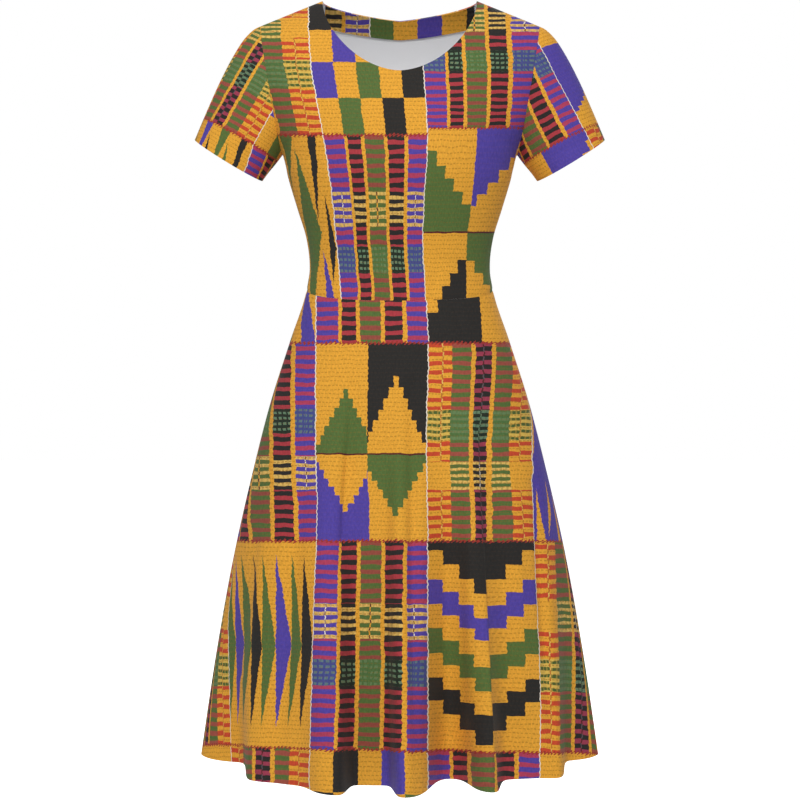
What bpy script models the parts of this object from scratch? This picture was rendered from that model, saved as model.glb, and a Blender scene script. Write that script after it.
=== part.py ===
"""A flared dress with short sleeves, filled out as it is when worn, in metres with +Z up.

Its front faces -Y and its left sleeve, as seen from the front, is at -X. The origin is midway
between the two high points of its shoulders, at their height. Each cut piece is a loft of cloth
sections worked out from the sizes below. Where two pieces are sewn, their edges are mitred and
keep a seam's gap, which a surface thickened evenly would not.
"""

import math

import bmesh
import bpy
import numpy as np

# Cloth
WALL = 0.0015
FACING_WALL = 0.0010
SEAM_GAP = 0.0003

# Heights of the cut's main levels
SHOULDER_POINT_Z = -0.0325
UNDERARM_Z = -0.1990
WAIST_SIDE_Z = -0.3731
WAIST_FRONT_DIP = 0.0201
WAIST_BACK_DIP = 0.0050
HEM_Z = -0.9815
HEM_CORNER_LIFT = 0.0050

# The body's sections, from the shoulders to the hem
HEIGHT, HALF_WIDTH, FRONT, BACK = range(4)
BODY_SECTIONS = (
    # height, half width, front depth, back depth
    (0.040, 0.246, 0.064, 0.050),
    (0.000, 0.237, 0.070, 0.060),
    (-0.040, 0.224, 0.075, 0.069),
    (-0.080, 0.208, 0.082, 0.078),
    (-0.120, 0.190, 0.093, 0.085),
    (-0.160, 0.1710, 0.105, 0.090),
    (-0.199, 0.1527, 0.112, 0.092),
    (-0.231, 0.1443, 0.112, 0.090),
    (-0.270, 0.1326, 0.104, 0.085),
    (-0.309, 0.1209, 0.094, 0.080),
    (-0.346, 0.1170, 0.088, 0.077),
    (-0.373, 0.1205, 0.088, 0.079),
    (-0.440, 0.1418, 0.102, 0.098),
    (-0.517, 0.1664, 0.120, 0.120),
    (-0.600, 0.1880, 0.134, 0.140),
    (-0.700, 0.2112, 0.147, 0.158),
    (-0.840, 0.2373, 0.158, 0.172),
    (-0.9815, 0.2590, 0.165, 0.182),
)
BODY_SQUARENESS = 2.3
SLOPE_STEP = 0.0001
SHOULDER_ROUNDING = 0.100

# Neck and shoulders
NECK_HALF_WIDTH = 0.1000
SHOULDER_HALF_WIDTH = 0.1812
NECK_DROP = {FRONT: 0.1060, BACK: 0.0150}
NECK_SQUARENESS = {FRONT: 1.8, BACK: 1.2}
COLLAR_RISE = {FRONT: 0.030, BACK: 0.012}

# Sleeves, a row for each section between the armhole and the cuff
SHARE, TOP_X, TOP_Z, UNDER_X, UNDER_Z, ROUNDNESS = range(6)
SLEEVE_SECTIONS = (
    # share, top across, top height, underside across, underside height, how far it is round
    (0.00, 0.1812, -0.0325, 0.1527, -0.1990, 0.00),
    (0.06, 0.1868, -0.0350, 0.1543, -0.2010, 0.04),
    (0.20, 0.1995, -0.0460, 0.1575, -0.2055, 0.20),
    (0.40, 0.2160, -0.0705, 0.1628, -0.2125, 0.48),
    (0.60, 0.2325, -0.1020, 0.1682, -0.2190, 0.72),
    (0.80, 0.2490, -0.1385, 0.1733, -0.2255, 0.90),
    (1.00, 0.2662, -0.1790, 0.1785, -0.2328, 1.00),
)
CUFF_HALF_DEPTH = 0.046
CUFF_TILT = 0.16

# The skirt's folds, from its left side to its right. At each fold's side the cloth steps in or
# out, to a depth that is a share more or less than the smooth skirt's. The places are shares of
# the half width, at the hem and at the hip, and the step shrinks to nothing at the start height.
HEM_AT, HIP_AT, DEEPER, SOFTNESS, START_Z = range(5)
HIP_Z = -0.600
FOLD_GROWTH = 1.3
FOLDS = {
    FRONT: (
        # place at hem, place at hip, share deeper after it, softness, start height
        (-1.200, -1.200, -0.700, 0.020, -0.560),
        (-0.745, -0.960, 0.070, 0.020, -0.560),
        (-0.405, -0.520, 0.340, 0.055, -0.480),
        (-0.243, -0.330, -0.010, 0.020, -0.440),
        (-0.024, -0.040, 0.375, 0.020, -0.460),
        (0.140, 0.160, -0.235, 0.048, -0.430),
        (0.335, 0.425, 0.310, 0.052, -0.460),
        (0.478, 0.575, -0.110, 0.020, -0.420),
        (0.700, 0.800, 0.060, 0.060, -0.600),
        (0.800, 0.960, -0.760, 0.020, -0.560),
    ),
    BACK: (
        (-1.200, -1.200, 0.060, 0.030, -0.560),
        (-0.860, -0.930, -0.200, 0.045, -0.540),
        (-0.640, -0.740, 0.200, 0.045, -0.480),
        (-0.455, -0.540, -0.180, 0.022, -0.450),
        (-0.215, -0.275, 0.230, 0.040, -0.440),
        (-0.020, -0.030, -0.230, 0.024, -0.430),
        (0.200, 0.250, 0.240, 0.042, -0.450),
        (0.420, 0.510, -0.140, 0.024, -0.440),
        (0.640, 0.740, 0.180, 0.046, -0.500),
        (0.850, 0.925, 0.040, 0.040, -0.540),
    ),
}

# How finely each surface is divided
NECK_COLUMNS = 9
SHOULDER_COLUMNS = 5
LOWER_ROWS = 6
ARMHOLE_ROWS = 9
SHOULDER_ROW = 0.995
SKIRT_COLUMNS = 76
SKIRT_ROWS = 7
SLEEVE_ROWS = 7
FACING_ROWS = 2
CREASE_DEGREES = 50.0

# Colours
GOLD = (0.60, 0.33, 0.05, 1.0)
PURPLE = (0.10, 0.07, 0.33, 1.0)
GREEN = (0.07, 0.18, 0.04, 1.0)
RED = (0.45, 0.06, 0.04, 1.0)
JERSEY_ROUGHNESS = 0.85


def along(rows, key, column):
    """A smooth curve through one column of a table, read where the first column is key."""
    ordered = sorted(rows)
    keys = np.array([row[0] for row in ordered])
    values = np.array([row[column] for row in ordered])
    slopes = np.gradient(values, keys)
    after = int(np.clip(np.searchsorted(keys, key), 1, len(keys) - 1))
    before = after - 1
    span = keys[after] - keys[before]
    share = float(np.clip((key - keys[before]) / span, 0.0, 1.0))
    rise = values[after] - values[before]
    bend_start = slopes[before] * span - rise
    bend_end = rise - slopes[after] * span
    bend = share * (1.0 - share) * (bend_start * (1.0 - share) + bend_end * share)
    return float(values[before] + rise * share + bend)


def unit(vectors):
    return vectors / np.linalg.norm(vectors, axis=-1, keepdims=True)


def round_share(share, squareness):
    """How deep a rounded section is at a share of its half width, as a share of its depth."""
    inside = 1.0 - min(abs(share), 1.0) ** squareness
    return inside ** (1.0 / squareness)


def round_place(turn, squareness):
    """The share of the half width at a turn from -1 to 1, where round_share is easy to divide."""
    return math.copysign(math.sin(abs(turn) * math.pi / 2) ** (2.0 / squareness), turn)


def shoulder_height(side, across):
    """The line over the shoulder, carried on over the open neck as a low collar."""
    if abs(across) < NECK_HALF_WIDTH:
        return COLLAR_RISE[side] * (1.0 - (across / NECK_HALF_WIDTH) ** 2)
    beyond = (abs(across) - NECK_HALF_WIDTH) / (SHOULDER_HALF_WIDTH - NECK_HALF_WIDTH)
    return SHOULDER_POINT_Z * beyond


def body_depth(side, across, height):
    """How far the front or back cloth is from the side seams' plane."""
    half_width = along(BODY_SECTIONS, height, HALF_WIDTH)
    depth = along(BODY_SECTIONS, height, side)
    drop = (shoulder_height(side, across) - height) / SHOULDER_ROUNDING
    over_shoulder = math.sqrt(1.0 - (1.0 - min(max(drop, 0.0), 1.0)) ** 2)
    return depth * round_share(across / half_width, BODY_SQUARENESS) * over_shoulder


def cloth_depth(side, across, height):
    """The body's depth with the skirt's folds on it."""
    place = across / along(BODY_SECTIONS, height, HALF_WIDTH)
    return body_depth(side, across, height) * (1.0 + fold_depth(side, place, height))


def facing_out(side):
    return -1.0 if side == FRONT else 1.0


def cloth_normals(side, grid):
    """Unit normals of the front or back cloth at rows of its points, from the slope of its depth."""
    normals = np.empty_like(grid)
    for row, points in enumerate(grid):
        for column, (across, _, height) in enumerate(points):
            wider = cloth_depth(side, across + SLOPE_STEP, height)
            narrower = cloth_depth(side, across - SLOPE_STEP, height)
            higher = cloth_depth(side, across, height + SLOPE_STEP)
            lower = cloth_depth(side, across, height - SLOPE_STEP)
            normals[row, column] = (
                narrower - wider,
                facing_out(side) * 2 * SLOPE_STEP,
                lower - higher,
            )
    return unit(normals)


def waist_height(side, share):
    dip = WAIST_FRONT_DIP if side == FRONT else WAIST_BACK_DIP
    return WAIST_SIDE_Z - dip * round_share(share, BODY_SQUARENESS)


def neck_edge(side, turn):
    """A point of the neckline, from the middle at 0 to the high shoulder points at -1 and 1."""
    power = 2.0 / NECK_SQUARENESS[side]
    angle = abs(turn) * math.pi / 2
    across = NECK_HALF_WIDTH * math.sin(angle) ** power
    return math.copysign(across, turn), -NECK_DROP[side] * math.cos(angle) ** power


def bodice_top(side, column):
    """The bodice's upper edge, along the neckline and then along the shoulder seam."""
    neck_end = NECK_COLUMNS / (NECK_COLUMNS + SHOULDER_COLUMNS)
    if abs(column) <= neck_end:
        return neck_edge(side, column / neck_end)
    beyond = (abs(column) - neck_end) / (1.0 - neck_end)
    across = NECK_HALF_WIDTH + beyond * (SHOULDER_HALF_WIDTH - NECK_HALF_WIDTH)
    return math.copysign(across, column), shoulder_height(side, across)


def bodice_point(side, column, row):
    """A bodice point, at row 0 on the waist seam, 1 level with the underarm and 2 on the top."""
    place = round_place(column, BODY_SQUARENESS)
    if row <= 1.0:
        height = waist_height(side, place) * (1.0 - row) + UNDERARM_Z * row
        across = place * along(BODY_SECTIONS, height, HALF_WIDTH)
    else:
        climb = row - 1.0
        top_across, top_height = bodice_top(side, column)
        low_across = place * along(BODY_SECTIONS, UNDERARM_Z, HALF_WIDTH)
        across = low_across * (1.0 - climb) + top_across * climb
        height = UNDERARM_Z * (1.0 - climb) + top_height * climb
    depth = body_depth(side, across, height)
    return across, facing_out(side) * depth, height


def bodice_columns():
    half = NECK_COLUMNS + SHOULDER_COLUMNS
    return [column / half for column in range(-half, half + 1)]


def armhole_climbs():
    """Rows up the armhole, close together at the underarm and at the shoulder."""
    return [(1.0 - math.cos(math.pi * i / ARMHOLE_ROWS)) / 2 for i in range(ARMHOLE_ROWS + 1)]


def bodice_rows():
    lower = [i / LOWER_ROWS for i in range(LOWER_ROWS)]
    return lower + [1.0 + climb for climb in armhole_climbs()]


def fold_place(fold, height):
    """Where a fold's side is at a height, as a share of the half width."""
    below_hip = (HIP_Z - height) / (HIP_Z - HEM_Z)
    return fold[HIP_AT] + (fold[HEM_AT] - fold[HIP_AT]) * min(max(below_hip, 0.0), 1.0)


def fold_depth(side, place, height):
    """How much deeper the folds make the cloth, as a share of the smooth skirt's depth."""
    deeper = 0.0
    before = 0.0
    for fold in FOLDS[side]:
        grown = (fold[START_Z] - height) / (fold[START_Z] - HEM_Z)
        grown = min(max(grown, 0.0), 1.0) ** FOLD_GROWTH
        reach = fold[SOFTNESS] * (2.5 - 1.5 * grown)
        passed = (1.0 + math.tanh((place - fold_place(fold, height)) / reach)) / 2
        deeper += (fold[DEEPER] - before) * grown * passed
        before = fold[DEEPER]
    return deeper


def strand_place(side, hem_place, height):
    """Follows a strand of cloth up from its place on the hem, so that it keeps to its fold."""
    inner = [fold for fold in FOLDS[side] if abs(fold[HEM_AT]) < 1.0]
    hem_places = [-1.0] + [fold[HEM_AT] for fold in inner] + [1.0]
    places = [-1.0] + [fold_place(fold, height) for fold in inner] + [1.0]
    return float(np.interp(hem_place, hem_places, places))


def skirt_point(side, hem_place, row):
    """A skirt point, at row 0 on the waist seam and at row 1 on the hem."""
    lifted = HEM_Z + HEM_CORNER_LIFT * abs(hem_place) ** 16
    level = WAIST_SIDE_Z * (1.0 - row) + HEM_Z * row
    place = strand_place(side, hem_place, level)
    height = waist_height(side, place) * (1.0 - row) + lifted * row
    across = place * along(BODY_SECTIONS, height, HALF_WIDTH)
    return across, facing_out(side) * cloth_depth(side, across, height), height


def hem_columns(side):
    """Places on the hem, shared out by the cloth's length and closer where it turns."""
    turns = np.linspace(-1.0, 1.0, 40 * SKIRT_COLUMNS + 1)
    places = [round_place(turn, BODY_SQUARENESS) for turn in turns]
    line = np.array([skirt_point(side, place, 1.0)[:2] for place in places])
    steps = np.diff(line, axis=0)
    lengths = np.hypot(steps[:, 0], steps[:, 1])
    headings = np.unwrap(np.arctan2(steps[:, 1], steps[:, 0]))
    bends = np.abs(np.gradient(headings))
    effort = lengths / lengths.sum() + bends / bends.sum()
    travelled = np.concatenate([[0.0], np.cumsum(effort)])
    wanted = np.linspace(0.0, travelled[-1], SKIRT_COLUMNS + 1)
    return list(np.interp(wanted, travelled, places))


def sleeve_point(side, climb, share):
    """A left sleeve point, at a climb from its underside to its top and a share of its length."""
    top_x, top_z, under_x, under_z, roundness = (
        along(SLEEVE_SECTIONS, share, column) for column in range(TOP_X, ROUNDNESS + 1)
    )
    across = under_x + (top_x - under_x) * climb
    height = under_z + (top_z - under_z) * climb
    armhole_x = SLEEVE_SECTIONS[0][UNDER_X] * (1.0 - climb) + SHOULDER_HALF_WIDTH * climb
    armhole_z = UNDERARM_Z * (1.0 - climb) + SHOULDER_POINT_Z * climb
    armhole_depth = body_depth(side, armhole_x, armhole_z)
    cuff_depth = CUFF_HALF_DEPTH * 2.0 * math.sqrt(climb * (1.0 - climb))
    depth = armhole_depth * (1.0 - roundness) + cuff_depth * roundness
    y = facing_out(side) * depth
    return -across, y, height + CUFF_TILT * y * roundness


def tube_normals(grid):
    """Unit normals of the left sleeve's rows of points, which run up from its cuff."""
    around = np.roll(grid, -1, axis=1) - np.roll(grid, 1, axis=1)
    up = np.gradient(grid, axis=0)
    return unit(np.cross(up, around))


def square_edge(points, normals, axis, step):
    """Moves a seam's edge by a step along one axis, and makes its cut face square to that axis."""
    points[:, axis] += step
    normals[:, axis] = 0.0
    normals[:] = unit(normals)


def cloth_material(name, colour):
    material = bpy.data.materials.new(name)
    material.use_nodes = True
    shader = material.node_tree.nodes["Principled BSDF"]
    shader.inputs["Base Color"].default_value = colour
    shader.inputs["Roughness"].default_value = JERSEY_ROUGHNESS
    shader.inputs["Metallic"].default_value = 0.0
    return material


def cloth_piece(name, outer, normals, colour, wall=WALL, around=False):
    """Lofts a cloth wall through rows of outer points and the same rows moved in by its thickness."""
    rows, columns = outer.shape[:2]
    skin = bmesh.new()
    outside = [[skin.verts.new(point) for point in row] for row in outer]
    inside = [[skin.verts.new(point) for point in row] for row in outer - normals * wall]
    across = columns if around else columns - 1
    for row in range(rows - 1):
        for column in range(across):
            beside = (column + 1) % columns
            for side in (outside, inside):
                lower, upper = side[row], side[row + 1]
                skin.faces.new([lower[column], lower[beside], upper[beside], upper[column]])
    for row in (0, rows - 1):
        for column in range(across):
            beside = (column + 1) % columns
            edge, lining = outside[row], inside[row]
            skin.faces.new([edge[column], edge[beside], lining[beside], lining[column]])
    if not around:
        for column in (0, columns - 1):
            for row in range(rows - 1):
                edge = [outside[row][column], outside[row + 1][column]]
                skin.faces.new(edge + [inside[row + 1][column], inside[row][column]])
    bmesh.ops.recalc_face_normals(skin, faces=skin.faces[:])
    mesh = bpy.data.meshes.new(name)
    skin.to_mesh(mesh)
    skin.free()
    mesh.shade_smooth()
    mesh.set_sharp_from_angle(angle=math.radians(CREASE_DEGREES))
    mesh.materials.append(cloth_material(name, colour))
    dress.objects.link(bpy.data.objects.new(name, mesh))


def bodice_grid(side):
    columns = bodice_columns()
    rows = bodice_rows()
    return np.array([[bodice_point(side, column, row) for column in columns] for row in rows])


def sleeve_ring():
    """The side and climb of each point round a sleeve, up its front and down its back."""
    climbs = armhole_climbs()
    return [(FRONT, climb) for climb in climbs] + [(BACK, climb) for climb in climbs[-2:0:-1]]


def sleeve_grid():
    """The left sleeve's rows, from its cuff up to the armhole."""
    shares = [i / SLEEVE_ROWS for i in range(SLEEVE_ROWS, -1, -1)]
    ring = sleeve_ring()
    return np.array([[sleeve_point(side, climb, share) for side, climb in ring] for share in shares])


def armhole_places(side):
    """Where round the sleeve each point of one side's armhole is, from the underarm up."""
    if side == FRONT:
        return list(range(ARMHOLE_ROWS + 1))
    return [0] + list(range(2 * ARMHOLE_ROWS - 1, ARMHOLE_ROWS - 1, -1))


def armhole_seam():
    """The left armhole seam: its points, its mitred normals and the steps across it to the sleeve.

    The front and the back share the seam's two ends, so each adds half of the normal there.
    """
    sleeve = sleeve_grid()
    seam = sleeve[-1]
    mitres = tube_normals(sleeve)[-1]
    for side in (FRONT, BACK):
        edge = bodice_grid(side)[LOWER_ROWS:, :1]
        for place, normal in zip(armhole_places(side), cloth_normals(side, edge)[:, 0]):
            mitres[place] += normal * (0.5 if place in (0, ARMHOLE_ROWS) else 1.0)
    for end in (0, ARMHOLE_ROWS):
        mitres[end, 1] = 0.0
    mitres = unit(mitres)
    along_seam = np.roll(seam, -1, axis=0) - np.roll(seam, 1, axis=0)
    steps = unit(np.cross(along_seam, mitres)) * (SEAM_GAP / 2)
    steps *= -np.sign(steps[:, :1])
    return seam, mitres, steps


def make_bodice(name, side, colour):
    grid = bodice_grid(side)
    normals = cloth_normals(side, grid)
    half_gap = facing_out(side) * SEAM_GAP / 2
    square_edge(grid[0], normals[0], 2, SEAM_GAP / 2)
    for last in (0, -1):
        square_edge(grid[:LOWER_ROWS, last], normals[:LOWER_ROWS, last], 1, half_gap)
    for shoulder in (slice(0, SHOULDER_COLUMNS + 1), slice(-1 - SHOULDER_COLUMNS, None)):
        square_edge(grid[-1, shoulder], normals[-1, shoulder], 1, half_gap)
    seam, mitres, steps = armhole_seam()
    places = armhole_places(side)
    for last, mirror in ((0, 1.0), (-1, -1.0)):
        flip = np.array([mirror, 1.0, 1.0])
        grid[LOWER_ROWS:, last] = (seam[places] - steps[places]) * flip
        normals[LOWER_ROWS:, last] = mitres[places] * flip
        grid[[LOWER_ROWS, -1], last, 1] += half_gap
    cloth_piece(name, grid, normals, colour)


def make_skirt(name, side, colour):
    columns = hem_columns(side)
    rows = [i / SKIRT_ROWS for i in range(SKIRT_ROWS, -1, -1)]
    grid = np.array([[skirt_point(side, column, row) for column in columns] for row in rows])
    normals = cloth_normals(side, grid)
    square_edge(grid[-1], normals[-1], 2, -SEAM_GAP / 2)
    for last in (0, -1):
        square_edge(grid[:, last], normals[:, last], 1, facing_out(side) * SEAM_GAP / 2)
    cloth_piece(name, grid, normals, colour)


def make_sleeve(name, mirror, colour):
    grid = sleeve_grid()
    normals = tube_normals(grid)
    seam, mitres, steps = armhole_seam()
    grid[-1] = seam + steps
    normals[-1] = mitres
    flip = np.array([mirror, 1.0, 1.0])
    cloth_piece(name, grid * flip, normals * flip, colour, around=True)


def make_facing(name, colour):
    """A band inside the back neck, made from the back bodice's points and moved inward."""
    grid = bodice_grid(BACK)
    normals = cloth_normals(BACK, grid)
    middle = grid.shape[1] // 2
    reach = NECK_COLUMNS - 1
    band = (slice(-1 - FACING_ROWS, None), slice(middle - reach, middle + reach + 1))
    under = grid[band] - normals[band] * (WALL + SEAM_GAP)
    cloth_piece(name, under, normals[band], colour, wall=FACING_WALL)


for old in list(bpy.data.objects):
    bpy.data.objects.remove(old, do_unlink=True)

dress = bpy.data.collections.new("flared_dress")
bpy.context.scene.collection.children.link(dress)

make_bodice("front_bodice", FRONT, GOLD)
make_bodice("back_bodice", BACK, GOLD)
make_skirt("front_skirt", FRONT, PURPLE)
make_skirt("back_skirt", BACK, PURPLE)
make_sleeve("left_sleeve", 1.0, GREEN)
make_sleeve("right_sleeve", -1.0, GREEN)
make_facing("back_neck_facing", RED)
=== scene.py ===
import math
from functools import partialmethod

import bmesh
import bpy
import numpy as np
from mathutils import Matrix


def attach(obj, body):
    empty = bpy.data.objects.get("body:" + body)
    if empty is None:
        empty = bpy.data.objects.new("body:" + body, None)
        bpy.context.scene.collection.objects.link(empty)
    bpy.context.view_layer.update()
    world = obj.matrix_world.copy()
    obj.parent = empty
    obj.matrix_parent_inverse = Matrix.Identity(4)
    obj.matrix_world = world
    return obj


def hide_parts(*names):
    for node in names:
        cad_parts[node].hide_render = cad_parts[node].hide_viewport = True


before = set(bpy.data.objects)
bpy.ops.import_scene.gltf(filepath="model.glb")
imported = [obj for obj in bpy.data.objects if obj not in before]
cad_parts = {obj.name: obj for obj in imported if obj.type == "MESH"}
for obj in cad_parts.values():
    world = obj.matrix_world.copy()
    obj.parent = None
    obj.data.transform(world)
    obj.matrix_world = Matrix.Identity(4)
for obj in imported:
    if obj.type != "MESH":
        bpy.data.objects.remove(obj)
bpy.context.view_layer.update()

# The studio
# A level camera stands in front of the dress at half its height. The dress hangs in soft light
# from high in front of it, over a pale floor that runs on into a white room.
CAMERA_PLACE = (0.0003, -2.2, -0.5174)
LENS_MM = 76.15
SENSOR_MM = 36.0
FLOOR_Z = -1.32
FLOOR_SIZE = 40.0
FLOOR_GRID = 8
FLOOR_WHITE = (0.86, 0.86, 0.86, 1.0)
FLOOR_ROUGHNESS = 0.9
FLOOR_GLOW = 0.90
ROOM_LIGHT = 0.29
WHITE = (1.0, 1.0, 1.0, 1.0)
LAMPS = (
    # name, place, size, watts
    ("front_softbox", (-0.25, -2.9, 2.1), 0.9, 94.0),
    ("back_softbox", (0.6, 3.0, 1.2), 2.2, 60.0),
)
DRESS_MIDDLE = (0.0, 0.0, -0.50)

scene = bpy.context.scene
scene.view_settings.view_transform = "Standard"

camera_data = bpy.data.cameras.new("camera")
camera_data.lens = LENS_MM
camera_data.sensor_width = SENSOR_MM
camera = bpy.data.objects.new("camera", camera_data)
camera.location = CAMERA_PLACE
camera.rotation_euler = (math.pi / 2, 0.0, 0.0)
scene.collection.objects.link(camera)
scene.camera = camera


def aim(thing, target):
    way = np.subtract(target, thing.location)
    thing.rotation_euler = (
        math.atan2(math.hypot(way[0], way[1]), -way[2]),
        0.0,
        math.atan2(-way[0], way[1]),
    )


for lamp_name, lamp_place, lamp_size, lamp_watts in LAMPS:
    lamp_data = bpy.data.lights.new(lamp_name, "AREA")
    lamp_data.shape = "SQUARE"
    lamp_data.size = lamp_size
    lamp_data.energy = lamp_watts
    lamp = bpy.data.objects.new(lamp_name, lamp_data)
    lamp.location = lamp_place
    aim(lamp, DRESS_MIDDLE)
    scene.collection.objects.link(lamp)


# Where in a table's row it is read, far from its neighbours
ROW_MIDDLE = 0.5


class Draft:
    """Draws in a node tree. Its methods add nodes and give back what comes out of them."""

    def __init__(self, tree):
        self.tree = tree

    def node(self, kind, inputs=(), **settings):
        made = self.tree.nodes.new(kind)
        for name, value in settings.items():
            setattr(made, name, value)
        for place, value in enumerate(inputs):
            self.feed(made.inputs[place], value)
        return made

    def feed(self, socket, value):
        value = getattr(value, "socket", value)
        if isinstance(value, bpy.types.NodeSocket):
            self.tree.links.new(value, socket)
        else:
            socket.default_value = value

    def maths(self, operation, *values):
        return Value(self, self.node("ShaderNodeMath", values, operation=operation).outputs[0])

    def parts(self, colour):
        """A colour's three parts."""
        outputs = self.node("ShaderNodeSeparateColor", (colour,)).outputs
        return [Value(self, output) for output in outputs]

    def noise(self, place, scale, detail):
        made = self.node("ShaderNodeTexNoise", noise_dimensions="2D")
        for name, value in (("Vector", place), ("Scale", scale), ("Detail", detail)):
            self.feed(made.inputs[name], value)
        return made.outputs

    def mix(self, share, below, above):
        made = self.node("ShaderNodeMix", data_type="RGBA", clamp_factor=True)
        sockets = {socket.identifier: socket for socket in (*made.inputs, *made.outputs)}
        for name, value in (("Factor_Float", share), ("A_Color", below), ("B_Color", above)):
            self.feed(sockets[name], value)
        return sockets["Result_Color"]

    def table(self, place, rows):
        """Looks a colour up in rows of (where it starts from 0 to 1, colour)."""
        made = self.node("ShaderNodeValToRGB", (place,))
        made.color_ramp.interpolation = "CONSTANT"
        stops = made.color_ramp.elements
        while len(stops) > 1:
            stops.remove(stops[-1])
        stops[0].position, stops[0].color = rows[0]
        for start, colour in rows[1:]:
            stops.new(start).color = colour
        return made.outputs["Color"]

    def pick(self, number, colours):
        """The colour at a whole number in a list. Past the list's end it is the last one."""
        rows = [(place / len(colours), colour) for place, colour in enumerate(colours)]
        return self.table((number + ROW_MIDDLE) / len(colours), rows)

    def group(self, tree, **inputs):
        made = self.node("ShaderNodeGroup", node_tree=tree)
        for name, value in inputs.items():
            self.feed(made.inputs[name.replace("_", " ")], value)
        return {output.name: Value(self, output) for output in made.outputs}


class Value:
    """What comes out of a node. Arithmetic on a value adds nodes to its draft."""

    def __init__(self, draft, socket):
        self.draft = draft
        self.socket = socket

    def maths(self, operation, *others):
        return self.draft.maths(operation, self, *others)

    def __rsub__(self, other):
        return self.draft.maths("SUBTRACT", other, self)

    __add__ = partialmethod(maths, "ADD")
    __sub__ = partialmethod(maths, "SUBTRACT")
    __mul__ = partialmethod(maths, "MULTIPLY")
    __truediv__ = partialmethod(maths, "DIVIDE")
    __mod__ = partialmethod(maths, "FLOORED_MODULO")
    __lt__ = partialmethod(maths, "LESS_THAN")
    __gt__ = partialmethod(maths, "GREATER_THAN")
    floor = partialmethod(maths, "FLOOR")
    fraction = partialmethod(maths, "FRACT")
    size = partialmethod(maths, "ABSOLUTE")
    sine = partialmethod(maths, "SINE")
    snapped = partialmethod(maths, "SNAP")
    at_most = partialmethod(maths, "MINIMUM")
    to_and_fro = partialmethod(maths, "PINGPONG")
    within = partialmethod(maths, "COMPARE")


room = bpy.data.worlds.new("white_room")
room.use_nodes = True
room.node_tree.nodes.clear()
scene.world = room
draft = Draft(room.node_tree)
is_seen = draft.node("ShaderNodeLightPath").outputs["Is Camera Ray"]
room_light = draft.node("ShaderNodeBackground", (WHITE, ROOM_LIGHT)).outputs[0]
room_seen = draft.node("ShaderNodeBackground", (WHITE, 1.0)).outputs[0]
mixed = draft.node("ShaderNodeMixShader", (is_seen, room_light, room_seen)).outputs[0]
draft.node("ShaderNodeOutputWorld", (mixed,))

bpy.ops.mesh.primitive_grid_add(
    x_subdivisions=FLOOR_GRID, y_subdivisions=FLOOR_GRID, size=FLOOR_SIZE
)
floor = bpy.context.object
floor.name = "floor"
floor.location = (0.0, 0.0, FLOOR_Z)
floor_paint = bpy.data.materials.new("pale_floor")
floor_paint.use_nodes = True
floor_shader = floor_paint.node_tree.nodes["Principled BSDF"]
floor_shader.inputs["Base Color"].default_value = FLOOR_WHITE
floor_shader.inputs["Roughness"].default_value = FLOOR_ROUGHNESS
floor_shader.inputs["Emission Color"].default_value = WHITE
draft = Draft(floor_paint.node_tree)
is_seen = draft.node("ShaderNodeLightPath").outputs["Is Camera Ray"]
draft.feed(floor_shader.inputs["Emission Strength"], draft.maths("MULTIPLY", is_seen, FLOOR_GLOW))
floor.data.materials.append(floor_paint)

# The printed cloth
# A smooth polyester jersey, printed on its face with patches of woven strips whipped together in
# red, and left white behind. U counts the print's panels across the cloth and V counts them down
# it. Inside a panel, sizes are in points, each about 1.3 mm of the skirt's cloth.
PANEL_WIDE = 112.4
PANEL_DEEP = 205.0
PANEL_REPEAT = 4
# The tone curve of a screen's colours
SCREEN_FULL = 255.0
SCREEN_OFFSET = 0.055
SCREEN_POWER = 2.4


def dye(red, green, blue):
    """A linear colour from a screen colour's three parts."""
    parts = np.array([red, green, blue]) / SCREEN_FULL
    parts = (parts + SCREEN_OFFSET) / (1.0 + SCREEN_OFFSET)
    return (*(float(part) ** SCREEN_POWER for part in parts), 1.0)


GOLD = dye(234, 168, 54)
PALE_GOLD = dye(230, 187, 98)
STRAW = dye(222, 184, 84)
OCHRE = dye(188, 112, 42)
FLOAT_BROWN = dye(158, 97, 22)
PURPLE = dye(83, 68, 163)
SLATE = dye(70, 78, 138)
GREEN = dye(87, 111, 55)
BRIGHT_GREEN = dye(83, 114, 62)
LEAF_GREEN = dye(104, 130, 84)
PALE_GREEN = dye(104, 134, 104)
DARK_GREEN = dye(34, 46, 34)
OLIVE = dye(80, 100, 46)
RED = dye(204, 74, 44)
WHIP_RED = dye(160, 52, 44)
BRICK_RED = dye(160, 80, 66)
DULL_RED = dye(150, 76, 62)
DARK_ROSE = dye(174, 58, 66)
ROSE = dye(178, 62, 94)
MAGENTA = dye(158, 60, 82)
MAROON = dye(88, 34, 34)
BLACK = dye(42, 40, 38)
ASH = dye(92, 80, 88)
MIST = dye(98, 120, 126)
OFF_WHITE = dye(240, 230, 216)


def start_group(name, inputs, outputs=("Colour",)):
    """A new node group: its draft, its inputs by name, and its outputs' sockets by name."""
    tree = bpy.data.node_groups.new(name, "ShaderNodeTree")
    for socket in inputs:
        tree.interface.new_socket(socket, in_out="INPUT", socket_type="NodeSocketFloat")
    for socket in outputs:
        kind = "NodeSocketColor" if socket == "Colour" else "NodeSocketFloat"
        tree.interface.new_socket(socket, in_out="OUTPUT", socket_type=kind)
    draft = Draft(tree)
    entrance = draft.node("NodeGroupInput").outputs
    given = {output.name: Value(draft, output) for output in entrance if output.name}
    return draft, given, draft.node("NodeGroupOutput").inputs


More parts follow.
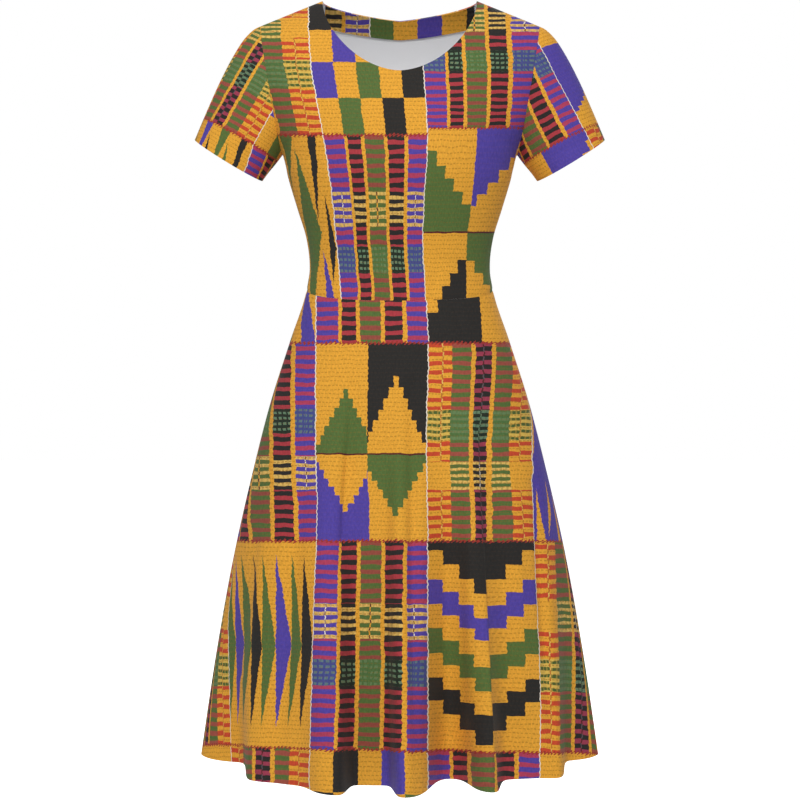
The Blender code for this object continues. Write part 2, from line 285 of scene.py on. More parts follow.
# The two kinds of strip panel
# Narrow woven columns with weft bars across them, parted by gold ones and crossed by two bands.
# A row gives a column's right edge, how far its bars lag, how much further they lag in the top row
# of panels, and its colours on and off its bars: outside the bands, in the first, in the second.
GOLD_COLUMN = (0.0, 0.0, GOLD, GOLD, GOLD, GOLD, GOLD, GOLD)
PURPLE_COLUMN = (0.0, 0.0, ROSE, PURPLE, PALE_GOLD, PURPLE, MIST, SLATE)
PURPLE_STITCH = (0.0, 0.0, ROSE, PURPLE, MAROON, OFF_WHITE, SLATE, SLATE)
BLACK_COLUMN = (0.5, 0.0, DARK_ROSE, BLACK, PALE_GOLD, BLACK, PALE_GREEN, DARK_GREEN)
GREEN_COLUMN = (0.0, 0.0, DULL_RED, GREEN, PALE_GOLD, GREEN, LEAF_GREEN, BRIGHT_GREEN)
GREEN_STITCH = (0.0, 0.0, DULL_RED, GREEN, MAROON, GOLD, BRIGHT_GREEN, BRIGHT_GREEN)
LADDER = (RED, GOLD, OLIVE, STRAW, GOLD, GOLD)
LADDER_STITCH = (0.0, 0.0, PALE_GOLD, OCHRE, PALE_GOLD, OCHRE, GOLD, GOLD)
FULL_GREEN = (0.0, 0.0, BRICK_RED, GREEN, LEAF_GREEN, BRIGHT_GREEN, PALE_GOLD, GREEN)
CHECK = (MAGENTA, BLACK, PALE_GREEN, DARK_GREEN, PALE_GOLD, BLACK)
CHECK_STITCH = (0.0, 0.0, MAROON, ASH, DARK_GREEN, PALE_GREEN, BLACK, OFF_WHITE)
FIRST_STRIP = (
    (11.3, *PURPLE_COLUMN),
    (12.2, *PURPLE_STITCH),
    (22.0, *PURPLE_COLUMN),
    (25.9, *GOLD_COLUMN),
    (40.0, *BLACK_COLUMN),
    (44.0, *GOLD_COLUMN),
    (54.0, *GREEN_COLUMN),
    (55.1, *GREEN_STITCH),
    (65.0, *GREEN_COLUMN),
    (69.0, *GOLD_COLUMN),
    (87.3, *BLACK_COLUMN),
    (91.6, *GOLD_COLUMN),
    (101.1, *PURPLE_COLUMN),
    (102.0, *PURPLE_STITCH),
    (PANEL_WIDE, *PURPLE_COLUMN),
)
SECOND_STRIP = (
    (14.4, 0.0, 0.0, *LADDER),
    (15.5, *LADDER_STITCH),
    (25.0, 0.14, 0.0, *LADDER),
    (44.5, *FULL_GREEN),
    (48.8, *GOLD_COLUMN),
    (56.4, 0.0, 0.0, *CHECK),
    (57.6, *CHECK_STITCH),
    (65.5, 0.12, 0.38, *CHECK),
    (70.2, *GOLD_COLUMN),
    (87.8, *FULL_GREEN),
    (98.4, 0.0, 0.0, *LADDER),
    (99.5, *LADDER_STITCH),
    (PANEL_WIDE, 0.14, 0.0, *LADDER),
)
EDGE, LAG, TOP_LAG, ON_BAR, OFF_BAR = range(5)
BANDS = (
    # name, where a row has its colours on and off its bars
    ("First", 5, 6),
    ("Second", 7, 8),
)
BAR_PITCH = 9.4
BAR_SHARE = 0.47
BAND_BAR_SHARE = 0.46
DASH_PITCH = 5.2
DASH_GAP_SHARE = 0.34
# For each kind's two bands: how far apart their bars are, and how far their gaps thin the bars
FIRST_PITCHES, FIRST_GAPS = (7.7, 5.6), (0.25, 1.0)
SECOND_PITCHES, SECOND_GAPS = (6.6, 6.6), (0.35, 0.35)


def strip_weave(name, columns, pitches, gaps):
    """A strip panel, which is told where its bands' middles are and how high their halves are."""
    draft, given, result = start_group(
        name,
        ["Across", "Down", "In Top Row", "First Band", "First Half", "Second Band", "Second Half"],
    )
    across, down = given["Across"], given["Down"]
    share = across / PANEL_WIDE
    starts = [0.0] + [column[EDGE] / PANEL_WIDE for column in columns[:-1]]

    def look_up(kind):
        return draft.table(share, list(zip(starts, [column[kind] for column in columns])))

    lags = [(column[LAG], column[TOP_LAG], 0.0, 1.0) for column in columns]
    own_lag, top_lag, _ = draft.parts(draft.table(share, list(zip(starts, lags))))
    lag = top_lag * given["In Top Row"] + own_lag
    on_bar = (down / BAR_PITCH + lag).fraction() < BAR_SHARE
    colour = draft.mix(on_bar, look_up(OFF_BAR), look_up(ON_BAR))
    in_gap = (across / DASH_PITCH).fraction() < DASH_GAP_SHARE
    for (band, on, off), pitch, gap in zip(BANDS, pitches, gaps):
        middle = given[band + " Band"]
        turn = (down - middle) / pitch + lag + BAND_BAR_SHARE / 2
        dash = (turn.fraction() < BAND_BAR_SHARE) - in_gap * gap
        inside = down.within(middle, given[band + " Half"])
        colour = draft.mix(inside, colour, draft.mix(dash, look_up(off), look_up(on)))
    draft.feed(result["Colour"], colour)
    return draft.tree


first_strip = strip_weave("first_strip_weave", FIRST_STRIP, FIRST_PITCHES, FIRST_GAPS)
second_strip = strip_weave("second_strip_weave", SECOND_STRIP, SECOND_PITCHES, SECOND_GAPS)

# The spindles
# Slim lozenges woven side by side, each with one straight side. A spindle swells from its top tip
# to its widest level and narrows to its bottom tip, in steps of half a weft.
WEFT_PITCH = 5.4
SPINDLE_SIZES = ["Start", "Pitch", "Width", "Top", "Widest", "Bottom"]

draft, given, result = start_group(
    "spindles", ["Across", "Down", *SPINDLE_SIZES], ["Mask", "Number"]
)
weft = given["Down"].snapped(WEFT_PITCH / 2)
swell = (weft - given["Top"]) / (given["Widest"] - given["Top"])
taper = (given["Bottom"] - weft) / (given["Bottom"] - given["Widest"])
girth = swell.at_most(taper).at_most(1.0) * given["Width"]
from_start = given["Across"] - given["Start"]
draft.feed(result["Mask"], from_start % given["Pitch"] < girth)
draft.feed(result["Number"], (from_start / given["Pitch"]).floor())
spindles = draft.tree

SLIM_PITCH = 14.05
WIDE_PITCH = 28.1
ABOVE, BELOW = -1000.0, 1000.0
SLIM_COLOURS = (GREEN, PURPLE, GREEN, BLACK, GREEN, PURPLE, GREEN, BLACK)


def spindle_panel(name, cloth, rows):
    """A panel of spindles on plain cloth, a row for each level at which a set of them lies."""
    draft, given, result = start_group(name, ["Across", "Down"])
    colour = cloth
    for *sizes, colours in rows:
        found = draft.group(spindles, **given, **dict(zip(SPINDLE_SIZES, sizes)))
        colour = draft.mix(found["Mask"], colour, draft.pick(found["Number"], colours))
    draft.feed(result["Colour"], colour)
    return draft.tree


slim_spindles = spindle_panel(
    "slim_spindles",
    GOLD,
    (
        # start, pitch, width, top, widest, bottom, colours
        (0.0, SLIM_PITCH, SLIM_PITCH, 12.0, 102.0, 184.0, SLIM_COLOURS),
    ),
)
crossed_spindles = spindle_panel(
    "crossed_spindles",
    GOLD,
    (
        (11.9, WIDE_PITCH, 12.0, -60.0, 0.0, 62.0, (BLACK, PURPLE, GREEN, GOLD)),
        (-3.4, WIDE_PITCH, 17.0, 12.0, 95.0, 183.0, (BLACK, GREEN, BLACK, GREEN, GOLD)),
        (-14.9, WIDE_PITCH, 15.0, 112.0, 205.0, 270.0, (GREEN, BLACK, PURPLE, GREEN, PURPLE)),
        (95.5, PANEL_WIDE, 9.0, -60.0, 0.0, 85.0, (BLACK,)),
        (105.0, PANEL_WIDE, 6.5, 56.0, 110.0, 145.0, (BLACK,)),
    ),
)
purple_spindles = spindle_panel(
    "purple_spindles",
    PURPLE,
    (
        (4.5, WIDE_PITCH, 9.5, 150.0, 206.0, BELOW, (GOLD,)),
        (17.0, WIDE_PITCH, 4.5, 140.0, 172.0, 200.0, (GOLD,)),
        (0.0, WIDE_PITCH, 7.0, ABOVE, 60.0, 124.0, (GOLD,)),
    ),
)

# The stepped figures
# Blocks, pyramids, slopes, chevrons and a field, woven in steps of one block of weft. First come
# the blocks, whose colours move on by one with each step across or down.
BLOCK_WIDE = 22.48
BLOCK_DEEP = 41.0
BLOCK_COLOURS = (GOLD, BLACK, GOLD, PURPLE, GOLD, GREEN)


def panel(draw):
    """A node group of a panel, from a function that draws its colour across and down it."""
    draft, given, result = start_group(draw.__name__, ["Across", "Down"])
    draft.feed(result["Colour"], draw(draft, given["Across"], given["Down"]))
    return draft.tree


@panel
def blocks(draft, across, down):
    block = (across / BLOCK_WIDE).floor() + (down / BLOCK_DEEP).floor()
    return draft.pick(block % len(BLOCK_COLOURS), BLOCK_COLOURS)


# Four stepped pyramids, two above one base line and two hanging below it
PYRAMIDS = (
    # height, half width, middle across, figure, ground
    (62.6, 30.0, 30.5, GREEN, GOLD),
    (74.9, 32.0, 80.5, GOLD, BLACK),
    (55.3, 31.5, 30.0, GOLD, PURPLE),
    (59.6, 34.0, 80.0, GREEN, GOLD),
)
FIGURE, GROUND = 3, 4
PYRAMID_STEPS = 6.5
PYRAMID_MIDDLE = 52.3
PYRAMID_BASE = 115.0
BASE_LINE_HALF = 0.8
# A table of colours holds parts up to 1, so it holds the sizes in hundreds of points
HUNDRED = 100.0


@panel
def pyramids(draft, across, down):
    quarter = (down > PYRAMID_BASE) * 2.0 + (across > PYRAMID_MIDDLE)
    sizes = [(*(size / HUNDRED for size in row[:FIGURE]), 1.0) for row in PYRAMIDS]
    sizes = [size * HUNDRED for size in draft.parts(draft.pick(quarter, sizes))]
    height, half_width, middle = sizes
    from_base = (down - PYRAMID_BASE).size()
    climb = (from_base / height * PYRAMID_STEPS).floor() / PYRAMID_STEPS
    on_figure = (across - middle).size() < (1.0 - climb) * half_width
    figure = draft.pick(quarter, [row[FIGURE] for row in PYRAMIDS])
    ground = draft.pick(quarter, [row[GROUND] for row in PYRAMIDS])
    colour = draft.mix(on_figure, ground, figure)
    return draft.mix(from_base < BASE_LINE_HALF, colour, MAROON)


# A stepped slope in each quarter of a gold panel. Those above fill what is left of their steps,
# and those below fill what is right of theirs.
STEP_WIDE = 11.2
SLOPE_MIDDLE = 56.2
SLOPE_BASE = 96.0
SLOPES = (
    # first step's level, a step's depth, where the steps start, how far one runs, right, lower
    (5.5, 12.6, 0.0, STEP_WIDE, False, False, GREEN),
    (0.0, 11.7, 118.0, -STEP_WIDE, True, False, PURPLE),
    (110.0, 13.0, SLOPE_MIDDLE, -STEP_WIDE, False, True, BLACK),
    (112.0, 12.0, SLOPE_MIDDLE, STEP_WIDE, True, True, GREEN),
)


@panel
def slopes(draft, across, down):
    colour = GOLD
    for first, step_deep, start, step_run, is_right, is_lower, slope_colour in SLOPES:
        edge = ((down - first) / step_deep).floor() * step_run + start
        filled = across > edge if is_lower else across < edge
        in_column = across > SLOPE_MIDDLE if is_right else across < SLOPE_MIDDLE
        in_row = down > SLOPE_BASE if is_lower else down < SLOPE_BASE
        colour = draft.mix(filled * in_column * in_row, colour, slope_colour)
    return draft.mix(down.within(SLOPE_BASE, BASE_LINE_HALF), colour, MAROON)


# Stepped chevrons that point down, in stripes from the top one to the last
CHEVRON_WIDE = 16.06
CHEVRON_MIDDLE = 3.0
CHEVRONS = (
    # lower end at the panel's sides, how far each step falls, colour
    (9.2, 14.0, BLACK),
    (37.8, 12.3, GOLD),
    (61.6, 11.6, PURPLE),
    (85.2, 12.4, GOLD),
    (109.8, 11.9, GREEN),
    (134.0, 11.7, GOLD),
    (156.0, 14.0, BLACK),
)


@panel
def chevrons(draft, across, down):
    column = (across / CHEVRON_WIDE).floor()
    steps = CHEVRON_MIDDLE - (column - CHEVRON_MIDDLE).size()
    colour = GOLD
    for side_end, step_deep, stripe_colour in reversed(CHEVRONS):
        colour = draft.mix(down < steps * step_deep + side_end, colour, stripe_colour)
    return colour


# A purple field whose lower edge climbs away in narrow steps
FIELD_TOP = 104.0
FIELD_EDGE = 184.0
FIELD_STEP_WIDE = 8.0
FIELD_STEP_DEEP = 4.5


@panel
def stepped_field(draft, across, down):
    edge = FIELD_EDGE - (across / FIELD_STEP_WIDE).floor() * FIELD_STEP_DEEP
    return draft.mix((down < edge) * (down > FIELD_TOP), GOLD, PURPLE)


# The whole patchwork
# Strip panels and figured panels take turns both ways. A red whip stitch joins the rows, a white
# line joins the columns, and rows of small dark floats run across the gold and the green.
FIRST_STRIP_CELLS = (2, 5, 8, 13)
FIGURE_CELLS = (
    (1, blocks),
    (3, stepped_field),
    (4, crossed_spindles),
    (6, slopes),
    (9, pyramids),
    (11, purple_spindles),
    (12, slim_spindles),
    (14, chevrons),
)
CELL_REACH = 0.4
# For each row of panels: whether its strips are turned upside down, and where the middles of
# their two bands lie. Then the bands' half heights.
STRIP_BANDS = (
    (
        first_strip,
        ((0, 67.0, 120.8), (0, 73.2, 122.9), (1, 70.5, 124.3), (0, 79.0, 129.3)),
        (17.4, 12.8),
    ),
    (
        second_strip,
        ((1, 69.0, 127.7), (1, 72.0, 130.0), (0, 85.4, 137.4), (1, 75.0, 132.0)),
        (16.0, 14.8),
    ),
)
NOISE_MIDDLE = 0.5
WANDER = 2.6
WANDER_SCALE = 0.075
WANDER_DETAIL = 2.0
TOOTH = 0.275
FLOAT_PITCH = 4.4
FLOAT_LONG = 3.8
FLOAT_LAG = 0.37
FLOAT_SHARE = 0.26
FLOAT_FILL = 0.66
FLOAT_DARK = 1.15
FLECK_SHAPE = (0.55, 0.28, 0.0)
FLECK_SCALE = 1.0
FLECK_DETAIL = 1.0
FLECK_DEPTH = 0.42
WHIP_HALF = 0.2
WHIP_TICK = 1.4
WHIP_RAGGED = 3.0
TICK_PITCH = 4.4
TICK_SHARE = 0.5
LINE_HALF = 0.5

draft, given, result = start_group("patchwork_print", ["U", "V"])
across, down = given["U"] * PANEL_WIDE, given["V"] * PANEL_DEEP
place = draft.node("ShaderNodeCombineXYZ", (across, down)).outputs[0]
wander = draft.parts(draft.noise(place, WANDER_SCALE, WANDER_DETAIL)["Color"])
tooth = (down * (2.0 * math.pi / WEFT_PITCH)).sine() * TOOTH
across = across + (wander[0] - NOISE_MIDDLE) * WANDER + tooth
down = down + (wander[1] - NOISE_MIDDLE) * WANDER
panel_across, panel_down = across % PANEL_WIDE, down % PANEL_DEEP
column = (across / PANEL_WIDE).floor() % PANEL_REPEAT
row = (down / PANEL_DEEP).floor() % PANEL_REPEAT
cell = row * PANEL_REPEAT + column
in_top_row = given["V"] < 1.0
strip_colours = []
for strip, bands, (first_half, second_half) in STRIP_BANDS:
    rows = [(turn, first / PANEL_DEEP, second / PANEL_DEEP, 1.0) for turn, first, second in bands]
    turned, first_band, second_band = draft.parts(draft.pick(row, rows))
    strip_colours.append(draft.group(
        strip,
        Across=panel_across,
        Down=panel_down + turned * (PANEL_DEEP - panel_down - panel_down),
        In_Top_Row=in_top_row,
        First_Band=first_band * PANEL_DEEP,
        First_Half=first_half,
        Second_Band=second_band * PANEL_DEEP,
        Second_Half=second_half,
    )["Colour"])
is_first = [float(number in FIRST_STRIP_CELLS) for number in range(PANEL_REPEAT**2)]
is_first = draft.pick(cell, [(share, share, share, 1.0) for share in is_first])
colour = draft.mix(is_first, strip_colours[1], strip_colours[0])
for number, figure in FIGURE_CELLS:
    figure_colour = draft.group(figure, Across=panel_across, Down=panel_down)["Colour"]
    colour = draft.mix(cell.within(number, CELL_REACH), colour, figure_colour)
float_row = down / FLOAT_PITCH
float_turn = across / FLOAT_LONG + float_row.floor() * FLOAT_LAG
on_float = (float_row.fraction() < FLOAT_SHARE) * (float_turn.fraction() < FLOAT_FILL)
brightness = draft.parts(colour)[1]
colour = draft.mix(on_float * (brightness * FLOAT_DARK), colour, FLOAT_BROWN)
fleck_place = draft.node("ShaderNodeVectorMath", (place, FLECK_SHAPE), operation="MULTIPLY")
fleck = draft.noise(fleck_place.outputs[0], FLECK_SCALE, FLECK_DETAIL)["Fac"]
fleck = Value(draft, fleck) - NOISE_MIDDLE
shade = fleck * FLECK_DEPTH + 1.0
shade = draft.node("ShaderNodeCombineXYZ", (shade, shade, shade)).outputs[0]
colour = draft.node("ShaderNodeVectorMath", (colour, shade), operation="MULTIPLY").outputs[0]
colour = draft.mix(panel_across.to_and_fro(PANEL_WIDE / 2) < LINE_HALF, colour, OFF_WHITE)
tick = ((across + panel_down) / TICK_PITCH).fraction() < TICK_SHARE
whip_reach = fleck * WHIP_RAGGED + (tick * WHIP_TICK + WHIP_HALF)
on_whip = panel_down.to_and_fro(PANEL_DEEP / 2) < whip_reach
draft.feed(result["Colour"], draft.mix(on_whip, colour, WHIP_RED))
patchwork = draft.tree

# The jersey's own knit: fine ribs down the cloth and loops across it, under the print.
RIBS_A_PANEL = 190.0
LOOP_SHARE = 0.4
KNIT_DEPTH = 0.00012
KNIT_STRENGTH = 0.35
PRINT_ROUGHNESS = 0.82
PRINT_SHEEN = 0.04
PRINT_SPECULAR = 0.25
INSIDE_WHITE = dye(250, 250, 252)
INSIDE_ROUGHNESS = 0.9
UV_NAME = "Print"

draft, given, result = start_group("jersey_knit", ["U", "V"], ["Height"])
rib_turn = 2 * math.pi * RIBS_A_PANEL
rib = (given["U"] * rib_turn).sine()
loop = (given["V"] * (rib_turn * PANEL_DEEP / PANEL_WIDE)).sine()
draft.feed(result["Height"], loop * LOOP_SHARE + rib)
knit = draft.tree


def jersey(name, printed):
    material = bpy.data.materials.new(name)
    material.use_nodes = True
    draft = Draft(material.node_tree)
    shader = material.node_tree.nodes["Principled BSDF"]
    place = draft.node("ShaderNodeUVMap", uv_map=UV_NAME).outputs[0]
    u, v, _ = draft.node("ShaderNodeSeparateXYZ", (place,)).outputs
    bump = draft.node("ShaderNodeBump")
    bump.inputs["Strength"].default_value = KNIT_STRENGTH
    bump.inputs["Distance"].default_value = KNIT_DEPTH
    draft.feed(bump.inputs["Height"], draft.group(knit, U=u, V=v)["Height"])
    draft.feed(shader.inputs["Normal"], bump.outputs["Normal"])
    if printed:
        draft.feed(shader.inputs["Base Color"], draft.group(patchwork, U=u, V=v)["Colour"])
        shader.inputs["Roughness"].default_value = PRINT_ROUGHNESS
        shader.inputs["Sheen Weight"].default_value = PRINT_SHEEN
        shader.inputs["Specular IOR Level"].default_value = PRINT_SPECULAR
    else:
        shader.inputs["Base Color"].default_value = INSIDE_WHITE
        shader.inputs["Roughness"].default_value = INSIDE_ROUGHNESS
    return material


printed_face = jersey("printed_jersey_face", True)
white_back = jersey("printed_jersey_back", False)

# The bodice
# Two pieces of the jersey, sewn at the shoulders and sides. They follow a general figure's
# sections from the shoulders to the waist seam, with a wide round neck in front.
WALL = 0.0015
SEAM_GAP = 0.0001
SHOULDER_POINT_Z = -0.0325
UNDERARM_Z = -0.1990
UNDERARM_HALF_WIDTH = 0.1527
WAIST_SIDE_Z = -0.3731
HEM_Z = -0.9815
# The sections' columns after the height. FRONT and BACK also name the two sides of the dress.
HALF_WIDTH, FRONT, BACK = 1, 2, 3
BODY_SECTIONS = (
    # height, half width, front depth, back depth
    (0.040, 0.246, 0.064, 0.050),
    (0.000, 0.237, 0.070, 0.060),
    (-0.040, 0.224, 0.075, 0.069),
    (-0.080, 0.208, 0.082, 0.078),
    (-0.120, 0.190, 0.093, 0.085),
    (-0.160, 0.1710, 0.105, 0.090),
    (-0.199, UNDERARM_HALF_WIDTH, 0.112, 0.092),
    (-0.231, 0.1443, 0.112, 0.090),
    (-0.270, 0.1326, 0.104, 0.085),
    (-0.309, 0.1209, 0.094, 0.080),
    (-0.346, 0.1170, 0.088, 0.077),
    (-0.373, 0.1205, 0.088, 0.079),
    (-0.440, 0.1418, 0.102, 0.098),
    (-0.517, 0.1664, 0.120, 0.120),
    (-0.600, 0.1880, 0.134, 0.140),
    (-0.700, 0.2112, 0.147, 0.158),
    (-0.840, 0.2373, 0.158, 0.172),
    (-0.9815, 0.2590, 0.165, 0.182),
)
BODY_SQUARENESS = 2.3
SLOPE_STEP = 0.0001
SHOULDER_ROUNDING = 0.100
NECK_HALF_WIDTH = 0.1000
SHOULDER_HALF_WIDTH = 0.1812
# The share of the bodice's turn, from its middle to its armhole, that the neckline takes
NECK_END = 9.0 / 14.0
NECK_DROP = {FRONT: 0.1060, BACK: 0.0150}
NECK_SQUARENESS = {FRONT: 1.8, BACK: 1.2}
COLLAR_RISE = {FRONT: 0.030, BACK: 0.012}
WAIST_DIP = {FRONT: 0.0201, BACK: 0.0050}
OUT = {FRONT: -1.0, BACK: 1.0}


def ramp(value, start, full):
    """A share that grows from 0 at the start to 1 where it is full."""
    return np.clip((value - start) / (full - start), 0.0, 1.0)


def travelled(steps, axis=-1):
    """How far each point is along its line, whose first point comes before the first step."""
    return np.insert(np.cumsum(steps, axis=axis), 0, 0.0, axis=axis)


def along(rows, key, column):
    """A smooth curve through one column of a table, read where the first column is key."""
    ordered = sorted(rows)
    keys = np.array([row[0] for row in ordered])
    values = np.array([row[column] for row in ordered])
    slopes = np.gradient(values, keys)
    after = np.clip(np.searchsorted(keys, key), 1, len(keys) - 1)
    before = after - 1
    span = keys[after] - keys[before]
    share = ramp(key, keys[before], keys[after])
    rise = values[after] - values[before]
    bend_start = slopes[before] * span - rise
    bend_end = rise - slopes[after] * span
    bend = share * (1.0 - share) * (bend_start * (1.0 - share) + bend_end * share)
    return values[before] + rise * share + bend


def unit(vectors):
    return vectors / np.linalg.norm(vectors, axis=-1, keepdims=True)


def round_share(share, squareness=BODY_SQUARENESS):
    """How deep a rounded section is at a share of its half width, as a share of its depth."""
    inside = 1.0 - np.minimum(np.abs(share), 1.0) ** squareness
    return inside ** (1.0 / squareness)


def round_place(turn, squareness=BODY_SQUARENESS):
    """The share of the half width at a turn from -1 to 1. Even turns crowd towards the sides."""
    return np.sign(turn) * np.sin(np.abs(turn) * math.pi / 2) ** (2.0 / squareness)


def shoulder_height(side, across):
    """The line over the shoulder, carried on over the open neck as a low collar."""
    collar = COLLAR_RISE[side] * (1.0 - (across / NECK_HALF_WIDTH) ** 2)
    beyond = (np.abs(across) - NECK_HALF_WIDTH) / (SHOULDER_HALF_WIDTH - NECK_HALF_WIDTH)
    return np.where(np.abs(across) < NECK_HALF_WIDTH, collar, SHOULDER_POINT_Z * beyond)


def body_depth(side, across, height):
    """How far the smooth front or back cloth is from the side seams' plane."""
    half_width = along(BODY_SECTIONS, height, HALF_WIDTH)
    depth = along(BODY_SECTIONS, height, side)
    drop = np.clip((shoulder_height(side, across) - height) / SHOULDER_ROUNDING, 0.0, 1.0)
    over_shoulder = np.sqrt(1.0 - (1.0 - drop) ** 2)
    return depth * round_share(across / half_width) * over_shoulder


def waist_height(side, place):
    return WAIST_SIDE_Z - WAIST_DIP[side] * round_share(place)


def bodice_top(side, turn):
    """The upper edge, along the neckline and then along the shoulder seam."""
    power = 2.0 / NECK_SQUARENESS[side]
    angle = np.minimum(np.abs(turn) / NECK_END, 1.0) * math.pi / 2
    neck_x = NECK_HALF_WIDTH * np.sin(angle) ** power
    neck_z = -NECK_DROP[side] * np.cos(angle) ** power
    beyond = np.maximum(np.abs(turn) - NECK_END, 0.0) / (1.0 - NECK_END)
    shoulder_x = NECK_HALF_WIDTH + beyond * (SHOULDER_HALF_WIDTH - NECK_HALF_WIDTH)
    on_neck = np.abs(turn) <= NECK_END
    across = np.where(on_neck, neck_x, shoulder_x) * np.sign(turn)
    return across, np.where(on_neck, neck_z, SHOULDER_POINT_Z * beyond)


def bodice_grid(side, turns, rows):
    """Points at rows from 0 on the waist seam, past 1 level with the underarm, to 2 on the top."""
    places = round_place(turns)
    grid = np.empty((len(rows), len(turns), 3))
    low_across = places * along(BODY_SECTIONS, UNDERARM_Z, HALF_WIDTH)
    top_across, top_height = bodice_top(side, turns)
    for number, row in enumerate(rows):
        if row <= 1.0:
            height = waist_height(side, places) * (1.0 - row) + UNDERARM_Z * row
            across = places * along(BODY_SECTIONS, height, HALF_WIDTH)
        else:
            climb = row - 1.0
            across = low_across * (1.0 - climb) + top_across * climb
            height = UNDERARM_Z * (1.0 - climb) + top_height * climb
        grid[number, :, 0] = across
        grid[number, :, 1] = OUT[side] * body_depth(side, across, height)
        grid[number, :, 2] = height
    return grid


def slope_normals(side, depth_of, grid):
    """Unit normals from the slope of a depth that depends on the place across and the height."""
    across, height = grid[..., 0], grid[..., 2]
    wider = depth_of(side, across + SLOPE_STEP, height)
    narrower = depth_of(side, across - SLOPE_STEP, height)
    higher = depth_of(side, across, height + SLOPE_STEP)
    lower = depth_of(side, across, height - SLOPE_STEP)
    steady = np.full_like(across, OUT[side] * 2 * SLOPE_STEP)
    return unit(np.stack([narrower - wider, steady, lower - higher], axis=-1))


def around_side(side, across, height, wrap):
    """The cloth's length from the middle. Over the wrap its depth counts more and more."""
    place = across / along(BODY_SECTIONS, height, HALF_WIDTH)
    depth = along(BODY_SECTIONS, height, side) * round_share(place)
    weight = ramp(np.abs(place), *wrap)
    weight = (weight[:, 1:] + weight[:, :-1]) / 2
    lengths = travelled(np.hypot(np.diff(across, axis=1), weight * np.diff(depth, axis=1)))
    middle = np.array([np.interp(0.0, *row) for row in zip(across, lengths)])
    return lengths - middle[:, None]


# The print's rows lie level over the dress as it is seen from the front, 2.2 m off. Its rows and
# columns are placed on the side seams' plane as an eye there sees them.
SEEN_DISTANCE = 2.2
SEEN_MIDDLE_Z = -0.5174
ROW_LEVELS = (
    # height, row of panels
    (0.0260, 0.0),
    (-0.0026, 0.2),
    (-0.0364, 0.4),
    (-0.0780, 0.6),
    (-0.1248, 0.8),
    (-0.1729, 1.0),
    (-0.4433, 2.0),
    (-0.7007, 3.0),
    (-0.9725, 4.0),
    (-1.2480, 5.0),
)
# From which share of the half width the cloth's depth counts, and from which it counts in full
END_WRAP = (0.92, 1.00)
WHOLE_WRAP = (-1.0, 0.0)


def seen_height(depth, height):
    return SEEN_MIDDLE_Z + (height - SEEN_MIDDLE_Z) * SEEN_DISTANCE / (SEEN_DISTANCE - depth)


def seen_across(side, grid):
    """Where the smooth cloth is seen across, with its round sides' length let in at the ends."""
    across, height = grid[..., 0], grid[..., 2]
    depth = body_depth(side, across, height)
    wrapped = around_side(side, across, height, END_WRAP)
    return wrapped * SEEN_DISTANCE / (SEEN_DISTANCE - depth)


def print_rows(depth, height):
    """The print's V at a height on cloth at a depth towards the eye."""
    return np.interp(seen_height(depth, height), *zip(*sorted(ROW_LEVELS)))


# The strips' edges on the front bodice, as seen. The jersey gives more at the bust than at the
# waist, so they draw together below it.
BODICE_LINES = (
    # height, width left of the first line, and where the lines at the next U values are
    (0.000, 0.166, -0.1195, 0.0265, 0.1400, 0.3450),
    (-0.045, 0.166, -0.1180, 0.0290, 0.1417, 0.3467),
    (-0.082, 0.160, -0.1156, 0.0306, 0.1443, 0.3193),
    (-0.125, 0.154, -0.1085, 0.0335, 0.1435, 0.2935),
    (-0.169, 0.146, -0.1008, 0.0361, 0.1400, 0.2860),
    (-0.261, 0.146, -0.0870, 0.0316, 0.1303, 0.2763),
    (-0.310, 0.146, -0.0822, 0.0300, 0.1220, 0.2680),
    (-0.375, 0.146, -0.0763, 0.0333, 0.1189, 0.2649),
)
BODICE_LINE_US = (1.0, 2.0, 2.8, 3.8)
# How much further the print has run down to the first whip seam right of this line
RIGHT_RUN_U = 2.0
RIGHT_RUN = 0.038
RIGHT_RUN_Z = -0.165
RIGHT_RUN_REACH = 0.028
# The back carries the panels on from the front, and each is narrower above the waist by a share
# at each height
BACK_MIDDLE_U = 1.55
BACK_PANEL = 0.140
BACK_NARROW = ((-0.40, 0.77), (-0.30, 0.80), (-0.20, 0.90), (-0.10, 1.0), (0.04, 1.0))


def u_between(across, seen, lines, line_us):
    """The print's U from where its lines are seen at each height. The last span runs on."""
    first_panel, *places = [along(lines, seen, column) for column in range(1, len(lines[0]))]
    u = line_us[0] + (across - places[0]) / first_panel
    for place, next_place, line_u, next_u in zip(places, places[1:], line_us, line_us[1:]):
        step = (next_u - line_u) / (next_place - place)
        u = np.where(across > place, line_u + (across - place) * step, u)
    return u


def back_u(grid):
    """The print's U on the back, in panels of one width from its middle."""
    lengths = around_side(BACK, grid[..., 0], grid[..., 2], WHOLE_WRAP)
    return BACK_MIDDLE_U - lengths / BACK_PANEL


def front_bodice_print(grid):
    depth, height = -grid[..., 1], grid[..., 2]
    seen = seen_height(depth, height)
    u = u_between(seen_across(FRONT, grid), seen, BODICE_LINES, BODICE_LINE_US)
    run = RIGHT_RUN * np.exp(-(((seen - RIGHT_RUN_Z) / RIGHT_RUN_REACH) ** 2))
    v = print_rows(depth, height) + np.where(u > RIGHT_RUN_U, run, 0.0)
    return np.stack([u, v], axis=-1)


def back_bodice_print(grid):
    narrow = np.interp(grid[..., 2], *zip(*BACK_NARROW))
    u = BACK_MIDDLE_U + (back_u(grid) - BACK_MIDDLE_U) / narrow
    return np.stack([u, print_rows(grid[..., 1], grid[..., 2])], axis=-1)


EDGE_ROWS = 5
EDGE_DEEP = 0.005
EDGE_CROWDING = 1.3


